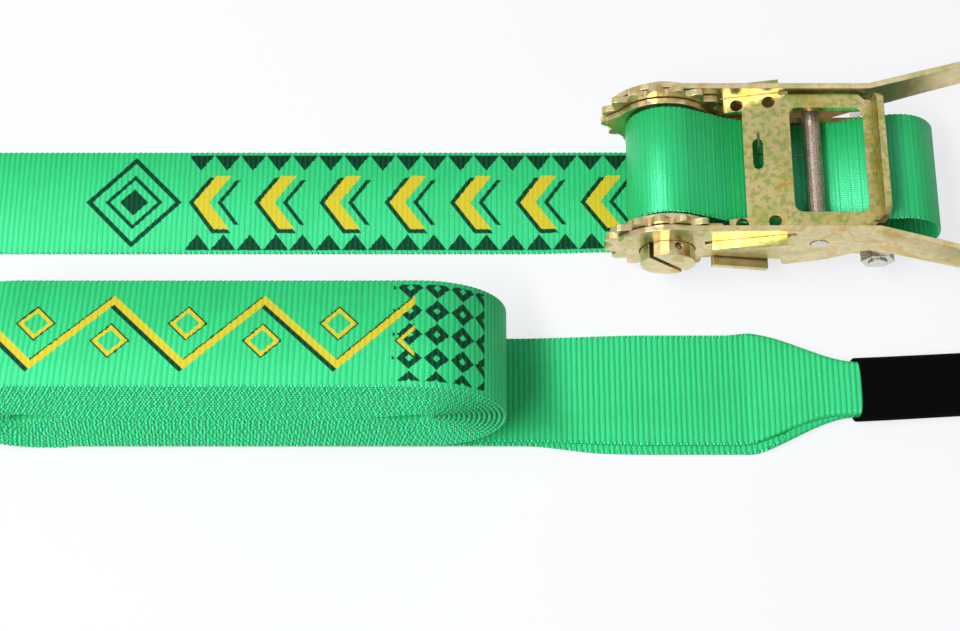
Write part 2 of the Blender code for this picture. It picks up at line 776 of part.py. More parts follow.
def drive_pawl():
    """The pull pawl: prongs, slot ears, strap window, rear window and finger flange."""
    slope = DRIVE_SLOPE
    stretch = 1 / math.cos(slope)
    tip = pawl_tip(DRIVE_ANGLE, slope).x
    bend = DRIVE_BEND
    bend_at = bend * stretch
    end_at = bend_at + DRIVE_END - bend
    flange_at = end_at + FLANGE_HEIGHT
    tail_half = HANDLE_INNER - DRIVE_SIDE_ROOM
    step = FLANGE_HEIGHT / 4
    half = pawl_outline(
        tip * stretch,
        DRIVE_EAR_START * stretch,
        DRIVE_EAR_END * stretch,
        end_at - 2 * step,
        DRIVE_WINDOW_EDGE * stretch,
        tail_half,
    )
    half = half[:-1] + [
        (end_at - step, tail_half - step),
        (flange_at - step, tail_half - step),
        (flange_at, tail_half - 2 * step),
        (flange_at, 0),
    ]
    rear = rounded(
        [
            (bend_at + REAR_WINDOW_START - bend, -REAR_WINDOW_HALF),
            (bend_at + REAR_WINDOW_END - bend, -REAR_WINDOW_HALF),
            (bend_at + REAR_WINDOW_END - bend, REAR_WINDOW_HALF),
            (bend_at + REAR_WINDOW_START - bend, REAR_WINDOW_HALF),
        ],
        REAR_WINDOW_CORNER,
    )
    slot_at = DRIVE_SLOT_REACH * stretch
    slot_low = DRIVE_SLOT_SIDE - DRIVE_SLOT_LENGTH / 2
    hook_slot = slot(
        (slot_at, slot_low), (slot_at, slot_low + DRIVE_SLOT_LENGTH), DRIVE_SLOT_WIDTH
    )
    holes = [rear, hook_slot]
    for side in (-1, 1):
        for at in (DRIVE_HOLE_NEAR, DRIVE_HOLE_FAR):
            holes.append(
                circle(DRIVE_HOLE_DIAMETER / 2, 12, (at * stretch, side * DRIVE_HOLE_SIDE))
            )
    start_z = pawl_point(DRIVE_ANGLE, slope, 0)
    bend_z = pawl_point(DRIVE_ANGLE, slope, bend)
    bm = flat_mesh(mirrored(half), holes, PAWL_THICKNESS, (bend_at, end_at))
    fold(
        bm,
        [
            (0, 0, start_z),
            (bend_at, bend, bend_z),
            (end_at, DRIVE_END, bend_z),
            (flange_at, DRIVE_END + FLANGE_LEAN, bend_z + FLANGE_HEIGHT),
        ],
    )
    return add_object("drive_pawl", bm, zinc_finish(), PARTS, AXIS)


def lock_pawl():
    """The base's locking pawl, pushed into the teeth from below by its own spring."""
    slope = LOCK_SLOPE
    stretch = 1 / math.cos(slope)
    tip = pawl_tip(LOCK_ANGLE, slope).x
    half = pawl_outline(
        tip * stretch,
        LOCK_EAR_START * stretch,
        LOCK_EAR_END * stretch,
        LOCK_TAIL * stretch,
        DRIVE_WINDOW_EDGE * stretch,
        BASE_INNER - LOCK_TAIL_ROOM,
    )
    start_z = pawl_point(LOCK_ANGLE, slope, 0)
    end_z = pawl_point(LOCK_ANGLE, slope, LOCK_TAIL)
    bm = flat_mesh(mirrored(half), (), PAWL_THICKNESS)
    fold(bm, [(0, 0, start_z), (LOCK_TAIL * stretch, LOCK_TAIL, end_z)])
    return add_object("lock_pawl", bm, zinc_finish(), PARTS, AXIS)


def handle_outline():
    """The handle's side: round head, release cam, pawl notch, belly and straight top."""
    notch_end = LOCK_EAR_END + PAWL_PULL + NOTCH_END_ROOM
    over_ear = PAWL_THICKNESS / 2 + NOTCH_ROOM
    notch_top = [
        (
            HANDLE_CAM_RADIUS + NOTCH_ROOM,
            pawl_point(LOCK_ANGLE, LOCK_SLOPE, HANDLE_CAM_RADIUS) + over_ear,
        ),
        (notch_end, pawl_point(LOCK_ANGLE, LOCK_SLOPE, LOCK_EAR_END) + over_ear),
    ]
    belly_shares = ((0, 0.89), (0.11, 0.97), (0.34, 0.86))
    arm_shares = ((0.11, 0.087), (0.36, 0.17), (1, 0.26))
    nut_side = BASE_LENGTH - NUT_ACROSS_FLATS / math.sqrt(3) - NUT_ROOM
    nut_top = NUT_ACROSS_FLATS / 2 - BASE_BOLT_DROP + NUT_ROOM
    arm_length = HANDLE_REACH - HANDLE_FLARE_START
    points = arc(HANDLE_HEAD_RADIUS, math.radians(72), math.radians(156), 9)
    points += [turned_about_axis((HANDLE_HEAD_RADIUS * 0.93, 0), math.radians(165))]
    points += arc(HANDLE_CAM_RADIUS, math.radians(173), math.radians(344), 12)
    points += notch_top
    belly = [
        (notch_end + RUNNING_GAP + HANDLE_BELLY * x, -HANDLE_BELLY * z) for x, z in belly_shares
    ]
    points += belly
    points += [((belly[-1][0] + nut_side) / 2, -HANDLE_BELLY * 0.6), (nut_side, nut_top)]
    points += [(HANDLE_FLARE_START + arm_length * x, HANDLE_TOP * z) for x, z in arm_shares]
    points += [(HANDLE_REACH, HANDLE_TOP)]
    return points


def handle_arm(name, end):
    """One stamped arm of the handle, flared outwards beyond the pawl's flange."""
    hole = circle(MANDREL_RADIUS + RUNNING_GAP, 28)
    rod_hole = circle(ROD_HEAD_DIAMETER / 2 + TOUCH_GAP, 14, (ROD_REACH, ROD_HEIGHT))
    ear_slot = pawl_slot(DRIVE_ANGLE, DRIVE_SLOPE, DRIVE_EAR_START, DRIVE_EAR_END)
    middle = HANDLE_INNER + HANDLE_THICKNESS / 2
    spread = HANDLE_HALF_SPAN - HANDLE_THICKNESS / 2 - middle
    flare_end = HANDLE_FLARE_START + spread / math.tan(HANDLE_FLARE_SLOPE)
    bm = flat_mesh(
        handle_outline(),
        (hole, rod_hole, ear_slot),
        HANDLE_THICKNESS,
        (HANDLE_FLARE_START, flare_end),
    )
    head_left = -1.2 * HANDLE_HEAD_RADIUS
    fold(
        bm,
        [
            (head_left, head_left, middle),
            (HANDLE_FLARE_START, HANDLE_FLARE_START, middle),
            (flare_end, flare_end, middle + spread),
            (HANDLE_REACH, HANDLE_REACH, middle + spread),
        ],
    )
    for vertex in bm.verts:
        vertex.co = Vector((vertex.co.x, end * vertex.co.z, vertex.co.y))
    return add_object(name, bm, zinc_finish(), CUTTERS, AXIS)


def handle():
    """The handle: two flared arms and the rolled cross grip that joins their ends."""
    half = HANDLE_HALF_SPAN - HANDLE_THICKNESS / 2
    wall = HANDLE_THICKNESS
    lip = GRIP_LIP
    outline = [(0, -half), (2 * lip + GRIP_LENGTH, -half), (2 * lip + GRIP_LENGTH, half), (0, half)]
    top = HANDLE_TOP - wall / 2 - GRIP_RECESS
    end_x = HANDLE_REACH - wall
    start_x = end_x - GRIP_LENGTH
    bm = flat_mesh(outline, (), wall, (lip, lip + GRIP_LENGTH))
    fold(
        bm,
        [
            (0, start_x + GRIP_TUCK, top - lip),
            (lip, start_x, top),
            (lip + GRIP_LENGTH, end_x, top),
            (2 * lip + GRIP_LENGTH, end_x - GRIP_TUCK, top - lip),
        ],
    )
    made = add_object("handle", bm, zinc_finish(), PARTS, AXIS)
    for end in (-1, 1):
        cut(made, cutter(handle_arm(f"handle_arm_{end}", end)), "UNION")
    return smooth(made)


def handle_rod():
    """The rod across the handle, with flush heads in the arms' holes."""
    shank = rod_along_y(
        "handle_rod",
        ROD_DIAMETER / 2,
        -HANDLE_OUTER,
        HANDLE_OUTER,
        steel_finish(),
        at=(ROD_REACH, ROD_HEIGHT),
        sides=14,
    )
    for end in (-1, 1):
        inner = end * (HANDLE_INNER + TOUCH_GAP)
        outer = end * (HANDLE_OUTER + TOUCH_GAP)
        head = rod_along_y(
            f"rod_head_{end}",
            ROD_HEAD_DIAMETER / 2,
            min(inner, outer),
            max(inner, outer),
            None,
            CUTTERS,
            at=(ROD_REACH, ROD_HEIGHT),
            sides=16,
        )
        cut(shank, cutter(head), "UNION")
    return shank


def tube_along_y(name, outer, inner, half, at, material, sides=18):
    """A tube across the ratchet, drawn as a ring outline."""
    centre = at
    return smooth(
        side_plate(
            name,
            circle(outer / 2, sides, centre),
            (circle(inner / 2, sides, centre),),
            2 * half,
            0,
            material,
        )
    )


def coil_spring(name, start, end, curls, material, hook=(), leg=()):
    """A compression spring between two places, drawn as one wire with its bent ends."""
    first, last = Vector(start), Vector(end)
    along = (last - first).normalized()
    side = Vector((0, 1, 0))
    up = along.cross(side)
    radius = (SPRING_DIAMETER - SPRING_WIRE) / 2
    steps = 9 * curls
    points = []
    for i in range(steps + 1):
        angle = 2 * math.pi * curls * i / steps
        centre = first.lerp(last, i / steps)
        points.append(centre + side * radius * math.cos(angle) + up * radius * math.sin(angle))
    points = [Vector(p) for p in hook] + points + [Vector(p) for p in leg]
    curve = bpy.data.curves.new(name, "CURVE")
    curve.dimensions = "3D"
    curve.bevel_depth = SPRING_WIRE / 2
    curve.bevel_resolution = 1
    curve.use_fill_caps = True
    spline = curve.splines.new("POLY")
    spline.points.add(len(points) - 1)
    for point, spot in zip(spline.points, points):
        point.co = (*spot, 1)
    made = bpy.data.objects.new(name, curve)
    made.location = AXIS
    PARTS.objects.link(made)
    curve.materials.append(material)
    return made


def drive_pawl_spring():
    """The pull pawl's spring under the plate: its hooked end, and its leg to the rod's sleeve."""
    slot_x = DRIVE_SLOT_REACH
    plate_z = pawl_point(DRIVE_ANGLE, DRIVE_SLOPE, slot_x)
    coil_start_x = slot_x + DRIVE_SPRING_SETBACK
    coil_z = ROD_HEIGHT + DRIVE_SPRING_LIFT
    leg_end_x = ROD_REACH - ROD_SLEEVE_DIAMETER / 2 - TOUCH_GAP - SPRING_WIRE / 2
    above = plate_z + PAWL_THICKNESS / 2 + TOUCH_GAP + SPRING_WIRE
    y_slot = DRIVE_SLOT_SIDE
    radius = (SPRING_DIAMETER - SPRING_WIRE) / 2
    hook = [
        (slot_x, y_slot + HOOK_LENGTH, above),
        (slot_x, y_slot + HOOK_LENGTH * 0.36, above),
        (slot_x, y_slot + SPRING_DIAMETER / 4, plate_z),
        (slot_x + SPRING_WIRE * 0.7, y_slot + SPRING_DIAMETER / 4, plate_z - PAWL_THICKNESS),
        (slot_x + DRIVE_SPRING_SETBACK / 2, y_slot + radius * 0.9, coil_z + SPRING_WIRE * 1.6),
    ]
    return coil_spring(
        "drive_pawl_spring",
        (coil_start_x, y_slot, coil_z),
        (leg_end_x - DRIVE_SPRING_LEG, y_slot, coil_z),
        DRIVE_SPRING_CURLS,
        steel_finish(),
        hook,
        [(leg_end_x, y_slot + radius, coil_z)],
    )


def lock_pawl_spring():
    """The locking pawl's spring, between its tail and the base's upturned seat."""
    room = TOUCH_GAP + SPRING_WIRE / 2
    z = pawl_point(LOCK_ANGLE, LOCK_SLOPE, LOCK_TAIL)
    return coil_spring(
        "lock_pawl_spring",
        (LOCK_TAIL + room + RUNNING_GAP, 0, z),
        (BASE_WEB_START - BASE_THICKNESS / 2 - room, 0, z),
        LOCK_SPRING_CURLS,
        steel_finish(),
    )


def hexagon(across, centre):
    """A hexagon with a flat side up."""
    radius = across / math.sqrt(3)
    return [
        (
            centre[0] + radius * math.cos(math.radians(60 * i)),
            centre[1] + radius * math.sin(math.radians(60 * i)),
        )
        for i in range(6)
    ]


def base_fasteners():
    """The strap bolt through the base with its sleeve, two washers and a nut."""
    at = (BASE_LENGTH, -BASE_BOLT_DROP)
    outer = BASE_INNER + BASE_THICKNESS
    washer_outer = outer + TOUCH_GAP + WASHER_THICKNESS
    nut_start = washer_outer + TOUCH_GAP
    shank = rod_along_y(
        "base_bolt", BOLT_DIAMETER / 2, -nut_start - NUT_HEIGHT - BOLT_OVERHANG,
        nut_start + BOLT_OVERHANG, steel_finish(), at=at, sides=16,
    )
    head = side_plate(
        "bolt_head", hexagon(NUT_ACROSS_FLATS, at), (), BOLT_HEAD_HEIGHT,
        nut_start + BOLT_HEAD_HEIGHT / 2, None, CUTTERS,
    )
    cut(shank, cutter(head), "UNION")
    for end, name in ((-1, "base_washer_front"), (1, "base_washer_rear")):
        side_plate(
            name,
            circle(WASHER_DIAMETER / 2, 24, at),
            (circle(BOLT_DIAMETER / 2 + TOUCH_GAP, 14, at),),
            WASHER_THICKNESS,
            end * (outer + TOUCH_GAP + WASHER_THICKNESS / 2),
            steel_finish(),
        )
    side_plate(
        "base_nut",
        hexagon(NUT_ACROSS_FLATS, at),
        (circle(BOLT_DIAMETER / 2 + TOUCH_GAP, 14, at),),
        NUT_HEIGHT,
        -(nut_start + NUT_HEIGHT / 2),
        steel_finish(),
    )
    tube_along_y(
        "base_bolt_sleeve",
        BOLT_SLEEVE_DIAMETER,
        BOLT_DIAMETER + 2 * TOUCH_GAP,
        BASE_INNER - TOUCH_GAP,
        at,
        finish("dull_steel", DULL_STEEL, 0.5, 1),
    )


def roll_half_height(x, turned):
    """How far a turn of the roll lies from its middle, at an x from the middle of its runs."""
    pressed = (WEB_THICKNESS + ROLL_PRESSED_GAP - 1.5 * ROLL_PITCH) / 2
    half_pressed = ROLL_PRESSED_LENGTH / 2
    share = min(max((abs(x) - half_pressed) / (ROLL_FLAT / 2 - half_pressed), 0), 1)
    ease = share * share * (3 - 2 * share)
    core = pressed + (ROLL_CORE_HALF_HEIGHT - pressed) * ease
    outer = ROLL_CORE_HALF_HEIGHT + ROLL_PITCH * ROLL_TURNS
    return core + (outer - core) * turned / ROLL_TURNS


def roll_path():
    """The flat roll's spiral seen from its edge, from the core out to the bottom run.

    Its inner turns are pressed together in the middle and open to a lens at each end.
    """
    centre_x = ROLL_RIGHT - ROLL_CORE_END - ROLL_PITCH * ROLL_TURNS - ROLL_FLAT / 2
    bottom = eye_top_height() + ROLL_CORE_HALF_HEIGHT + ROLL_PITCH * ROLL_TURNS
    per_half = 8
    run_shares = (0.95, 0.89, 0.83, 0.77, -0.77, -0.83, -0.89, -0.95)
    points = []
    for half in range(2 * ROLL_TURNS):
        side = 1 if half % 2 == 0 else -1
        for k in range(per_half + 1):
            angle = -math.pi / 2 + math.pi * k / per_half
            turned = (half + k / per_half) / 2
            height = ROLL_CORE_HALF_HEIGHT + ROLL_PITCH * turned
            reach = ROLL_CORE_END + ROLL_PITCH * turned
            points.append(
                (
                    centre_x + side * (ROLL_FLAT / 2 + reach * math.cos(angle)),
                    bottom + side * height * math.sin(angle),
                )
            )
        if half + 1 < 2 * ROLL_TURNS:
            for share in run_shares:
                x = side * share * ROLL_FLAT / 2
                height = roll_half_height(x, (half + 1) / 2)
                points.append((centre_x + x, bottom + side * height))
    return points


def eye_top_height():
    """The middle height of the eye's upper layer, which the roll's last run continues."""
    return 1.5 * WEB_THICKNESS + 1.5 * TOUCH_GAP


def line_roll():
    """The wound main line: one unbroken ribbon in a flat roll that leans back a little."""
    path = roll_path()
    path.append((EYE_START - TOUCH_GAP, path[-1][1]))
    gap = least_gap(path, WEB_THICKNESS, 6 * ROLL_PITCH) * ROLL_REAR_SHARE
    print(f"roll: {path_length(path):.2f} m long, least gap to itself {gap / MM:.2f} mm")
    made = ribbon("line_roll", path, WEB_WIDTH, WEB_THICKNESS, 0, webbing_finish())
    wall_mesh = bpy.data.meshes.new_from_object(
        made.evaluated_get(bpy.context.evaluated_depsgraph_get())
    )
    made.modifiers.clear()
    low = eye_top_height() - WEB_THICKNESS / 2
    high = max(z for _, z in path)
    for vertex in wall_mesh.vertices:
        share = (vertex.co.y + WEB_WIDTH / 2) / WEB_WIDTH
        lift = vertex.co.z - low
        vertex.co.z = low + lift * (1 - (1 - ROLL_REAR_SHARE) * share)
        vertex.co.y += LINE_Y + ROLL_LEAN * lift / high
    made.data = wall_mesh
    return made


def eye_share(x):
    """How far along its taper the doubled line is at an x, from 0 to 1."""
    return min(max((x - EYE_TAPER_START) / (EYE_TAPER_END - EYE_TAPER_START), 0), 1)


def eye_section(x):
    """The half width, layer thickness and underside height of the doubled line at an x."""
    share = eye_share(x)
    ease = share * share * (3 - 2 * share)
    half = (WEB_WIDTH + (EYE_NECK_WIDTH - WEB_WIDTH) * ease) / 2
    thickness = WEB_THICKNESS + (EYE_NECK_THICKNESS - WEB_THICKNESS) * share
    return half, thickness, (SLEEVE_WALL + TOUCH_GAP) * share


def strip_between(name, rings, material):
    """A strip lofted through rings of (outer point, inner point, half width)."""
    bm = bmesh.new()
    rows = []
    for outer, inner, half in rings:
        rows.append(
            [
                bm.verts.new((point[0], LINE_Y + side * half, point[1]))
                for point, side in ((outer, -1), (outer, 1), (inner, 1), (inner, -1))
            ]
        )
    for first, last in zip(rows, rows[1:]):
        for k in range(4):
            n = (k + 1) % 4
            bm.faces.new((first[k], last[k], last[n], first[n]))
    bm.faces.new(rows[0])
    bm.faces.new(rows[-1])
    return add_object(name, bm, material)


def line_eye():
    """The sewn eye: the line doubled back on itself, folded narrow where the sleeve starts."""
    clear = 1.5 * TOUCH_GAP
    neck_half, neck_thickness, neck_low = eye_section(EYE_TAPER_END)
    radius = neck_thickness + clear / 2
    bend_x = SET_HALF_LENGTH - SLEEVE_WALL - TOUCH_GAP - radius
    steps = 6
    stations = [EYE_START, EYE_START / 2, 0, EYE_TAPER_START / 2]
    stations += [
        EYE_TAPER_START + (EYE_TAPER_END - EYE_TAPER_START) * k / steps for k in range(steps + 1)
    ]
    stations += [(EYE_TAPER_END + bend_x) / 2]
    upper, lower = [], []
    for x in stations:
        half, thickness, low = eye_section(x)
        top = low + 2 * thickness + clear
        upper.append(((x, top), (x, top - thickness), half))
        lower.append(((x, low), (x, low + thickness), half))
    middle = neck_low + radius
    bight = [
        (outer, inner, neck_half)
        for outer, inner in zip(
            arc(radius, math.pi / 2, -math.pi / 2, 8, (bend_x, middle)),
            arc(clear / 2, math.pi / 2, -math.pi / 2, 8, (bend_x, middle)),
        )
    ]
    return strip_between("line_eye", upper + bight + lower[::-1], webbing_finish())


def block(name, low, high, material, group=PARTS):
    """A box between two corners."""
    bm = bmesh.new()
    bmesh.ops.create_cube(bm, size=1)
    size = [b - a for a, b in zip(low, high)]
    bmesh.ops.scale(bm, vec=size, verts=bm.verts)
    bmesh.ops.translate(bm, vec=[(a + b) / 2 for a, b in zip(low, high)], verts=bm.verts)
    return add_object(name, bm, material, group)


def line_sleeve():
    """The black woven sleeve over the eye's bight, a flat tube sewn shut at its end."""
    start = EYE_TAPER_END + 2 * TOUCH_GAP
    end = SET_HALF_LENGTH
    neck_half, neck_thickness, neck_low = eye_section(EYE_TAPER_END)
    inner_top = neck_low + 2 * neck_thickness + 1.5 * TOUCH_GAP + TOUCH_GAP
    inner_half = neck_half + TOUCH_GAP
    outer_half = inner_half + SLEEVE_WALL
    made = block(
        "line_sleeve",
        (start, LINE_Y - outer_half, 0),
        (end, LINE_Y + outer_half, inner_top + SLEEVE_WALL),
        finish("black_woven_sleeve", BLACK, 0.85, 0),
    )
    hollow = block(
        "sleeve_hollow",
        (start - SLEEVE_WALL, LINE_Y - inner_half, SLEEVE_WALL),
        (end - SLEEVE_WALL, LINE_Y + inner_half, inner_top),
        None,
        CUTTERS,
    )
    edges = made.modifiers.new("round_edges", "BEVEL")
    edges.width = SLEEVE_ROUND
    edges.segments = 3
    cut(made, cutter(hollow))
    return made


def build():
    """Makes every piece of the set."""
    base_frame()
    lock_pawl()
    lock_pawl_spring()
    base_fasteners()
    handle()
    handle_rod()
    tube_along_y(
        "rod_sleeve",
        ROD_SLEEVE_DIAMETER,
        ROD_DIAMETER + 2 * TOUCH_GAP,
        HANDLE_INNER - TOUCH_GAP,
        (ROD_REACH, ROD_HEIGHT),
        finish("dull_steel", DULL_STEEL, 0.5, 1),
    )
    drive_pawl()
    drive_pawl_spring()
    mandrel_half("mandrel_upper", 1)
    mandrel_half("mandrel_lower", -1)
    split_pin("split_pin_front", -1)
    split_pin("split_pin_rear", 1)
    sprocket("sprocket_front", -1)
    sprocket("sprocket_rear", 1)
    strap_winding()
    strap_tail()
    strap_run()
    line_roll()
    line_eye()
    line_sleeve()


build()
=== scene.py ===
"""A ratchet slackline set: a short strap wound on its tensioning ratchet, and a long line in a
flat roll whose sewn eye runs out to a woven sleeve.

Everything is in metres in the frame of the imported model: X along the webbings, Z up.
"""

import logging
import math
from dataclasses import dataclass, field
from enum import Enum
from typing import Any, Callable, Optional, Sequence

import bmesh
import bpy
import numpy as np
from mathutils import Matrix, Vector


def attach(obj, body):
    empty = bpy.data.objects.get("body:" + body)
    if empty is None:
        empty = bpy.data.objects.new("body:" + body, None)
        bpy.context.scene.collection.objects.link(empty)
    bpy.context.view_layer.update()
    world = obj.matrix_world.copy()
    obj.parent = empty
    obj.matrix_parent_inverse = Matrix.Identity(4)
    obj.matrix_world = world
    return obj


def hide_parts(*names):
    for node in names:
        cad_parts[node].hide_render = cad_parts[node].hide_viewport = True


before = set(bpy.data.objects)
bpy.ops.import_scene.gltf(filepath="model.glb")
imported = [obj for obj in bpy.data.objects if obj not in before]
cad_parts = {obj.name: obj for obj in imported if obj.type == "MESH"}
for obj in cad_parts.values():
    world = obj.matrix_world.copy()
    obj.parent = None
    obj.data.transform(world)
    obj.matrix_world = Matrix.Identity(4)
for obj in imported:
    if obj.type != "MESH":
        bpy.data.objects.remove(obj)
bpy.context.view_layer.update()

MM = 0.001
FAR_OFF = 1e6      # in millimetres, past the end of any webbing here
INK_EDGE = 0.4     # in millimetres, how softly a printed patch ends
BEND_STEPS = 24    # stretches in half a turn of webbing
LOG = logging.getLogger("slackline")

Point = tuple[float, float]
Pair = tuple[float, float]
Noise = tuple[float, float, float, float, float]


class Body(Enum):
    """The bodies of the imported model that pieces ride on."""

    BASE = "base"
    HANDLE = "handle"
    SPOOL = "spool"
    DRIVE_PAWL = "drive_pawl"
    LOCK_PAWL = "lock_pawl"


class Print(Enum):
    """What is printed on a stretch of webbing."""

    NONE = "none"
    CHEVRONS = "chevrons"
    ZIGZAG = "zigzag"


# Colours and nodes


def linear(colour: str) -> tuple[float, float, float, float]:
    """Turns an sRGB hex colour into linear values.

    Args:
        colour: Six hex digits with a leading hash.

    Returns:
        Red, green, blue and a full alpha.
    """
    parts = [int(colour[i : i + 2], 16) / 255 for i in (1, 3, 5)]
    return (*[p / 12.92 if p <= 0.04045 else ((p + 0.055) / 1.055) ** 2.4 for p in parts], 1.0)


def feed(tree: bpy.types.NodeTree, node: bpy.types.Node, inputs: dict) -> None:
    """Gives a node's inputs what they take.

    Args:
        tree: The tree that the node is in.
        node: The node.
        inputs: For each input's name or place, a value or the socket that feeds it.
    """
    for name, value in inputs.items():
        if isinstance(value, bpy.types.NodeSocket):
            tree.links.new(value, node.inputs[name])
        else:
            node.inputs[name].default_value = value


def add_node(tree: bpy.types.NodeTree, kind: str, settings: Optional[dict] = None,
             inputs: Optional[dict] = None) -> bpy.types.Node:
    """Adds a node with its settings and its inputs.

    Args:
        tree: The node tree of a material or of a geometry modifier.
        kind: The node's type name.
        settings: Values of the node's own properties.
        inputs: For each input's name or place, a value or the socket that feeds it.

    Returns:
        The new node.
    """
    made = tree.nodes.new(kind)
    for name, value in (settings or {}).items():
        setattr(made, name, value)
    feed(tree, made, inputs or {})
    return made


@dataclass
class Formula:
    """Arithmetic on sockets, for patterns that follow a rule."""

    tree: bpy.types.NodeTree

    def op(self, operation: str, *values: Any) -> bpy.types.NodeSocket:
        """One Math node's result."""
        inputs = {i: value for i, value in enumerate(values)}
        return add_node(self.tree, "ShaderNodeMath", {"operation": operation}, inputs).outputs[0]

    def add(self, a: Any, b: Any) -> bpy.types.NodeSocket:
        """a + b"""
        return self.op("ADD", a, b)

    def sub(self, a: Any, b: Any) -> bpy.types.NodeSocket:
        """a - b"""
        return self.op("SUBTRACT", a, b)

    def mul(self, a: Any, b: Any) -> bpy.types.NodeSocket:
        """a times b"""
        return self.op("MULTIPLY", a, b)

    def div(self, a: Any, b: Any) -> bpy.types.NodeSocket:
        """a over b"""
        return self.op("DIVIDE", a, b)

    def size(self, a: Any) -> bpy.types.NodeSocket:
        """a without its sign"""
        return self.op("ABSOLUTE", a)

    def sine(self, a: Any) -> bpy.types.NodeSocket:
        """The sine of a"""
        return self.op("SINE", a)

    def least(self, a: Any, b: Any) -> bpy.types.NodeSocket:
        """The lesser of a and b"""
        return self.op("MINIMUM", a, b)

    def most(self, a: Any, b: Any) -> bpy.types.NodeSocket:
        """The greater of a and b"""
        return self.op("MAXIMUM", a, b)

    def swing(self, a: Any, half: float) -> bpy.types.NodeSocket:
        """A triangle wave of a that goes from 0 to half and back"""
        return self.op("PINGPONG", a, half)

    def below(self, a: Any, limit: float, soft: float = 0.25) -> bpy.types.NodeSocket:
        """1 where a is below a limit, with a soft edge, and 0 elsewhere.

        Args:
            a: The value.
            limit: Where the middle of the edge lies.
            soft: Half the edge's width, in the value's own unit.

        Returns:
            The mask's socket.
        """
        ramp = add_node(
            self.tree, "ShaderNodeMapRange", {"interpolation_type": "SMOOTHSTEP"},
            {"Value": a, "From Min": limit - soft, "From Max": limit + soft,
             "To Min": 1.0, "To Max": 0.0},
        )
        return ramp.outputs["Result"]

    def above(self, a: Any, limit: float, soft: float = 0.25) -> bpy.types.NodeSocket:
        """1 where a is above a limit, the reverse of below"""
        return self.sub(1.0, self.below(a, limit, soft))

    def ridges(self, a: Any, spacing: float) -> bpy.types.NodeSocket:
        """Round-topped ridges from 0 to 1, a spacing apart"""
        return self.size(self.sine(self.mul(a, math.pi / spacing)))

    def between(self, a: Any, low: float, high: float) -> bpy.types.NodeSocket:
        """1 where a lies between two limits"""
        return self.mul(self.below(a, high), self.above(a, low))


def mix_colour(tree: bpy.types.NodeTree, share: Any, a: Any, b: Any) -> bpy.types.NodeSocket:
    """Mixes two colours.

    Args:
        tree: The material's node tree.
        share: How much of the second colour shows, from 0 to 1.
        a: The first colour or its socket.
        b: The second colour or its socket.

    Returns:
        The mixed colour's socket.
    """
    node = add_node(tree, "ShaderNodeMix", {"data_type": "RGBA"}, {0: share, 6: a, 7: b})
    return node.outputs[2]


def tinted(tree: bpy.types.NodeTree, colour: Any,
           tints: Sequence[tuple[Any, str]]) -> bpy.types.NodeSocket:
    """Lays tints over a colour, one after the other.

    Args:
        tree: The material's node tree.
        colour: The colour or its socket.
        tints: For each tint, how much of it shows and its hex colour.

    Returns:
        The last colour's socket.
    """
    for share, tint in tints:
        colour = mix_colour(tree, share, colour, linear(tint))
    return colour


def new_material(name: str) -> tuple[bpy.types.Material, bpy.types.NodeTree, bpy.types.Node]:
    """Makes a material.

    Args:
        name: The name of the real material.

    Returns:
        The material, its tree and its Principled shader.
    """
    made = bpy.data.materials.new(name)
    made.use_nodes = True
    return made, made.node_tree, made.node_tree.nodes["Principled BSDF"]


# Finishes


